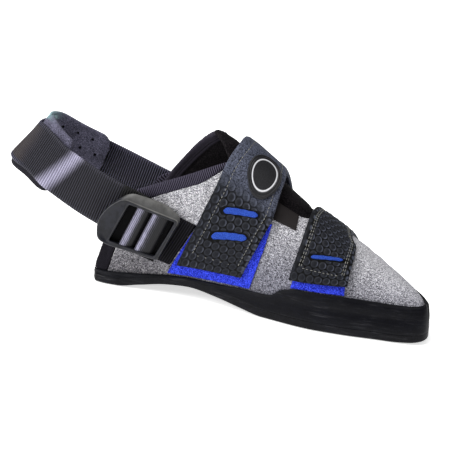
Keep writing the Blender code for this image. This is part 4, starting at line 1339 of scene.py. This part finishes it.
def makePad():
    columns, lines = padSet["grid"]
    _, run, here, across, outward = bandFrame(*padSet["ends"], columns)
    b = np.linspace(-1, 1, lines)
    fromEnd = np.minimum(run, run[-1] - run)
    corner = np.where(run < run[-1] / 2, *padSet["corner"])
    short = corner - np.sqrt(np.maximum(corner**2 - np.clip(corner - fromEnd, 0, corner) ** 2, 0))
    half = (padSet["width"] / 2 - short)[:, None]
    past, spread = padSet["bend"]
    bend = bell(run, run[np.argmin(here[:, 0])] + past, spread)
    lower, upper = padSet["lip"]
    lip = np.where(b < 0, (lower * between(padSet["lipRun"], run))[:, None], (upper * bend)[:, None])
    run, fromEnd = run[:, None], fromEnd[:, None]
    side = b * half + b * lip
    edge = np.minimum((1 - np.abs(b)) * half, fromEnd)
    crown = ease(0, padSet["edge"], edge)
    pitch, line = padSet["holePitch"]
    row = np.round(side / line - 0.5) + 0.5
    shift = np.mod(row - 0.5, 2) * 0.5
    column = np.round(run / pitch - shift) + shift
    gapTo = np.hypot(run - column * pitch, side - row * line)
    hole = (1 - ease(padSet["hole"] * 0.55, padSet["hole"], gapTo)) * ease(*padSet["holesFrom"], edge)
    ring = bell(gapTo, padSet["hole"] * 1.7, 0.9) * 0.18
    near = -(webSet["wall"] / 2 + 2 * shoe["gap"])
    face = near - padSet["wall"] + 1.3 * (1 - crown) + padSet["holeDeep"] * hole + ring
    through = ease(*padSet["holesThrough"], np.abs(side))
    back = near - 1.0 * (1 - crown) - padSet["holeDeep"] * hole * through
    mesh = ease(*padSet["meshFrom"], side) * bell(here[:, 0], *padSet["mesh"])[:, None]
    middle = lifted(here[:, None], across[:, None], side)
    top, under = (lifted(middle, outward[:, None], height) for height in (back, face))
    piece = shellPiece("foam_pad", top, under, foam, (run, side, hole - mesh), "heel_pad", "grey_foam", 5, 0.8)
    return piece


makeWebbing()
makePad()
print("heel loop made")

buckleSet = {
    "at": (28.6, 42.8),
    "slope": 19.0,
    "turn": 9.0,
    "stand": 8.6,
    "thick": 4.6,
    "round": 0.8,
    "frontEdge": [  # x, y and the radius that rounds the corner, on the face
        (24.0, 14.8, 2.6), (-13.4, 12.7, 4.0), (-20.0, 3.2, 8.0), (-22.4, -8.0, 8.0), (-18.0, -18.2, 6.0),
        (-11.0, -18.9, 3.0), (21.7, -14.2, 2.6),
    ],
    "backEdge": [  # on the back, where the long sides flare
        (24.5, 16.4, 4.0), (12.0, 20.4, 9.0), (-11.0, 17.2, 5.0), (-19.4, 4.4, 8.0), (-21.8, -7.6, 8.0),
        (-17.6, -17.6, 6.0), (-11.0, -18.4, 3.0), (21.4, -14.4, 2.6),
    ],
    "window": [(21.8, 12.8, 1.2), (-8.4, 10.6, 1.4), (-10.8, -15.8, 1.4), (19.0, -12.8, 1.2)],
    "middle": (5.2, -1.2),
    "rays": 240,
    "dish": 0.9,
    "lever": (-9.5, -12.5),  # where the dished lever end starts
    "flankHighlight": [0.9, 0.85, 0.8, 0.7, 0.62, 0.55, 0.5, 0.6, 1, 1, 0.9, 0.4, 0.05],  # painted highlight, up the upper flank
    "flankRun": ((-16.0, -9.0), (9.0, 15.0)),  # where its painted highlight comes along x and y
    # painted highlight along the outer rim and the window's rim, by row
    "rimHighlight": {9: 0.25, 10: 0.35, 11: 0.15, 25: 0.1, 26: 0.14, 27: 0.05},
    "bars": [(-3.7, 5.0, 2.5), (6.3, 17.4, 2.0)],  # left and right edge, spread of the painted highlight on the ridge
    "barEnds": (-16.2, 13.2),
    "barLean": 0.053,
    "threaded": ((-14.6, 20.2), (-17.2, 12.2)),  # the webbing behind the bars, along and across
    "threadedAt": (-2.5, 1.1),  # height and thickness
}
anchorSet = {
    "length": 43.0,
    "wall": 1.4,
    "thin": (0.45, 11.0, 15.0),  # how much thinner it gets, between these lengths from its front
    "foot": 16.6,
    "shares": (0.03, 0.37),  # start and span of the loop panel's height
    "turn": 0.1,  # degrees up the side for each mm back
    "rib": 0.1,
    "ribPitch": 1.6,
}


def onBuckle(points):
    # from the buckle's own axes to the shoe
    here, forward, up, outward = surfaceFrame(buckleSet["at"][0], inner, buckleSet["at"][1])
    turn = Matrix.Rotation(math.radians(buckleSet["turn"]), 3, up)
    facing = turn @ outward
    tilt = Matrix.Rotation(-math.radians(buckleSet["slope"]), 3, facing)
    axes = Matrix((tilt @ turn @ forward, tilt @ up, facing))
    return points @ np.array(axes) + np.array(here + outward * buckleSet["stand"])


def roundedPolygon(corners, steps=7):
    # corners are x, y and the radius that rounds them
    points = []
    count = len(corners)
    for k in range(count):
        before, here, after = (np.array(corners[(k + i) % count][:2], float) for i in (-1, 0, 1))
        a, b = before - here, after - here
        cut = min(corners[k][2], np.linalg.norm(a) * 0.49, np.linalg.norm(b) * 0.49)
        start, end = here + unit(a) * cut, here + unit(b) * cut
        for t in np.linspace(0, 1, steps):
            points.append(start * (1 - t) ** 2 + here * 2 * t * (1 - t) + end * t**2)
    return np.array(points)


def rayHits(polygon, rays):
    # how far a closed outline is from the middle along each ray
    reach = []
    edge = np.roll(polygon, -1, 0) - polygon
    for ray in rays:
        cross = ray[0] * edge[:, 1] - ray[1] * edge[:, 0]
        cross = np.where(np.abs(cross) < 1e-9, 1e-9, cross)
        far = (polygon[:, 0] * edge[:, 1] - polygon[:, 1] * edge[:, 0]) / cross
        part = (polygon[:, 0] * ray[1] - polygon[:, 1] * ray[0]) / cross
        reach.append(far[(part >= -1e-6) & (part <= 1 + 1e-6) & (far > 0)].max())
    return np.array(reach)


def makeBuckle():
    middle = np.array(buckleSet["middle"])
    outlines = [roundedPolygon(buckleSet[key]) - middle for key in ("frontEdge", "backEdge", "window")]
    corners = np.arctan2(outlines[2][:, 1], outlines[2][:, 0])
    around = np.linspace(-math.pi, math.pi, buckleSet["rays"], endpoint=False)
    angles = np.unique(np.concatenate([around, corners]))
    rays = np.stack([np.cos(angles), np.sin(angles)], -1)
    far, wide, near = (rayHits(outline, rays) for outline in outlines)
    thick, rad, quarter = buckleSet["thick"] / 2, buckleSet["round"], math.pi / 2

    def rounding(edge, inward, face, *turns):
        # rows round an edge of the face, 1, or the back, -1
        return [
            (edge + inward * rad * (1 - math.cos(turn)), face * (thick - rad + rad * math.sin(turn)))
            for turn in np.linspace(*turns)
        ]

    rows = []  # reach along each ray and height
    for t in np.linspace(0, 1, 8):
        swell = 0.5 * math.sin(math.pi * t)
        rows.append((wide + (far - wide) * t + swell, -thick + rad + (2 * thick - 2 * rad) * t))
    rows += rounding(far, -1, 1, 0.25, quarter, 5)
    for share in np.linspace(0.06, 0.94, 12):
        reach = far - rad - share * (far - near - 2 * rad)
        lever = ease(*buckleSet["lever"], rays[:, 0] * reach + middle[0])
        bowl = ease(1.2, 3.6, far - reach) * ease(0.2, 2.5, reach - near) * lever
        rows.append((reach, thick - buckleSet["dish"] * bowl))
    rows += rounding(near, 1, 1, quarter, 0, 5) + rounding(near, 1, -1, 0, quarter, 4)
    for share in np.linspace(0.8, 0.2, 4):
        rows.append((wide - rad - share * (wide - near - 2 * rad), -thick))
    rows += rounding(wide, -1, -1, quarter, 0.3, 4)
    grid = np.array([np.column_stack([rays * reach[:, None] + middle, height + 0 * reach]) for reach, height in rows])
    index = np.arange(grid[..., 0].size).reshape(grid.shape[:2])
    faces = gridFaces(np.hstack([index, index[:, :1]]), closed=True)
    # painted highlight on the upper flank and along the rims
    flank, rims = np.zeros((2, len(rows), 1))
    flank[:len(buckleSet["flankHighlight"]), 0] = buckleSet["flankHighlight"]
    for row, wear in buckleSet["rimHighlight"].items():
        rims[row] = wear
    runX, runY = buckleSet["flankRun"]
    paintedHighlight = flank * ease(*runY, grid[..., 1]) * ease(*runX, grid[..., 0]) + rims
    marks = np.stack([grid[..., 0], grid[..., 1], paintedHighlight], -1)
    points = onBuckle(grid.reshape(-1, 3))
    return makePiece("ladder_lock", points, facedOut(points, faces), [plastic], "buckle", "black_plastic", marks, 55)


def makeBar(name, left, right, spread):
    # high and round on the left, falling away to the right, with a painted highlight on its ridge
    ring = roundedPolygon([
        (left, -2.0, 0.5), (right, -2.0, 0.5), (right, -1.4, 0.6), (right - 1.4, -0.2, 1.4), (left + 2.6, 1.6, 1.6),
        (left + 0.2, 1.5, 1.3),
    ])
    y = np.linspace(*buckleSet["barEnds"], 40)[:, None]
    points = np.stack(np.broadcast_arrays(ring[:, 0] + buckleSet["barLean"] * y, y, ring[:, 1]), -1)
    index = np.arange(points[..., 0].size).reshape(points.shape[:2])
    faces = gridFaces(index.T, closed=True).tolist() + [index[0][::-1].tolist(), index[-1].tolist()]
    # where the painted highlight lies
    ridge = bell(ring[:, 0], left + spread, spread) * ease(-0.4, 0.9, ring[:, 1])
    along = arcLength(np.concatenate([ring, ring[:1]]), 0)[:-1]
    marks = np.stack(np.broadcast_arrays(along, y, ridge), -1)
    return makePiece(name, onBuckle(points.reshape(-1, 3)), faces, [barCover], None, "black_plastic", marks, 60)


def makeThreaded():
    # the webbing where it passes behind the bars
    along, across = buckleSet["threaded"]
    level, thick = buckleSet["threadedAt"]
    u = np.linspace(*along, 58)[:, None]
    v = np.linspace(*across, 42)
    ribs = 0.08 * np.sin(u * 2 * math.pi / webSet["ribPitch"])
    height = level - 0.5 * ease(-2, -9, u) - 0.5 * ease(14, 19, u) + ribs
    top = np.stack(np.broadcast_arrays(u + buckleSet["barLean"] * v, v, height), -1)
    under = onBuckle(top - (0, 0, thick))
    # its along marks are all 0, so the painted buckle shade makes it black all over
    return shellPiece("threaded_web", onBuckle(top), under, anchorWeb, (0, v, 0), None, "black_webbing", 2, 0.7)


def makeAnchor():
    # runs on under the buckle
    first, span = anchorSet["shares"]
    share = first + span * np.linspace(0, 1, 60)
    behind = 0.5 + anchorSet["length"] * (1 - np.linspace(0, 1, 80)[:, None])
    x = curveThrough(panelSet["instep"], 1)(share) - behind
    low = angleAtHeight(x, anchorSet["foot"])
    grid = lastPoint(x, inner, low + (panelSet["instepTop"] - low) * share + anchorSet["turn"] * behind)
    along, across = arcLength(grid, 0), arcLength(grid, 1)
    ribs = anchorSet["rib"] * np.sin(along * 2 * math.pi / anchorSet["ribPitch"])
    thin, *thinOver = anchorSet["thin"]
    high = shoe["gap"] + anchorSet["wall"] - thin * ease(*thinOver, behind) + ribs
    flat = along, across, 0
    return skinPiece("buckle_tab", grid, shoe["gap"], high, anchorWeb, flat, "buckle_anchor", "black_webbing", 3, 0.7)


makeBuckle()
for k, edges in enumerate(buckleSet["bars"]):
    makeBar(f"buckle_bar_{k + 1}", *edges)
makeThreaded()
makeAnchor()
print("buckle made")

stageSet = {
    "target": (-0.07028, 0.00842, 0.040),
    "azimuth": 18.0,
    "elevation": 17.0,
    "roll": 5.0,
    "distance": 0.840,
    "lens": 105.14,
    "floor": (6.0, -0.0004),  # half width and height
    "floorGlow": 0.66,
    "world": 0.34,
    "sky": ((-0.42, -0.22, 1.0), 2.75, 48.0),  # where it comes from, strength, spread in degrees
    "softbox": ((-0.75, -0.6, 0.5), 0.35, 4.0),  # place, size, watts
}


def addObject(name, data):
    made = bpy.data.objects.new(name, data)
    bpy.context.scene.collection.objects.link(made)
    return made


def addLight(name, kind, place, target, energy, **settings):
    data = bpy.data.lights.new(name, kind)
    data.energy = energy
    for key, value in settings.items():
        setattr(data, key, value)
    light = addObject(name, data)
    light.location = place
    light.rotation_euler = (Vector(target) - Vector(place)).to_track_quat("-Z", "Y").to_euler()


def makeStage():
    half, height = stageSet["floor"]
    mesh = bpy.data.meshes.new("floor")
    corners = [(x * half, y * half, height) for x, y in ((-1, -1), (1, -1), (1, 1), (-1, 1))]
    mesh.from_pydata(corners, [], [(0, 1, 2, 3)])
    finish = Finish("pale_floor")
    colour = finish.mix(finish.noise(40) * 0.1, (0.92, 0.92, 0.92), (0.88, 0.88, 0.88))
    glow = {"Emission Color": (1.0, 1.0, 1.0), "Emission Strength": stageSet["floorGlow"]}
    finish.coat(colour, None, roughness=0.9, gloss=0.1, others=glow)
    mesh.materials.append(finish.material)
    floor = addObject("floor", mesh)
    world = bpy.data.worlds.new("studio")
    bpy.context.scene.world = world
    world.use_nodes = True
    sky = world.node_tree.nodes["Background"].inputs
    sky["Color"].default_value = (1, 1, 1, 1)
    sky["Strength"].default_value = stageSet["world"]
    place, strength, spread = stageSet["sky"]
    addLight("overhead", "SUN", place, (0, 0, 0), strength, angle=math.radians(spread))
    place, size, watts = stageSet["softbox"]
    addLight("softbox", "AREA", place, stageSet["target"], watts, shape="DISK", size=size)
    bpy.context.scene.view_settings.view_transform = "Standard"


def makeCamera():
    azimuth, elevation, roll = (math.radians(stageSet[key]) for key in ("azimuth", "elevation", "roll"))
    level = math.cos(elevation)
    back = Vector((math.sin(azimuth) * level, -math.cos(azimuth) * level, math.sin(elevation)))
    right = Vector((math.cos(azimuth), math.sin(azimuth), 0))
    up = back.cross(right)
    acrossFrame = right * math.cos(roll) + up * math.sin(roll)
    upFrame = up * math.cos(roll) - right * math.sin(roll)
    data = bpy.data.cameras.new("camera")
    data.lens = stageSet["lens"]
    data.sensor_width = 36.0
    data.clip_start = 0.01
    camera = addObject("camera", data)
    pose = Matrix((acrossFrame, upFrame, back)).transposed().to_4x4()
    pose.translation = Vector(stageSet["target"]) + back * stageSet["distance"]
    camera.matrix_world = pose
    bpy.context.scene.camera = camera


makeStage()
makeCamera()
print("stage made")
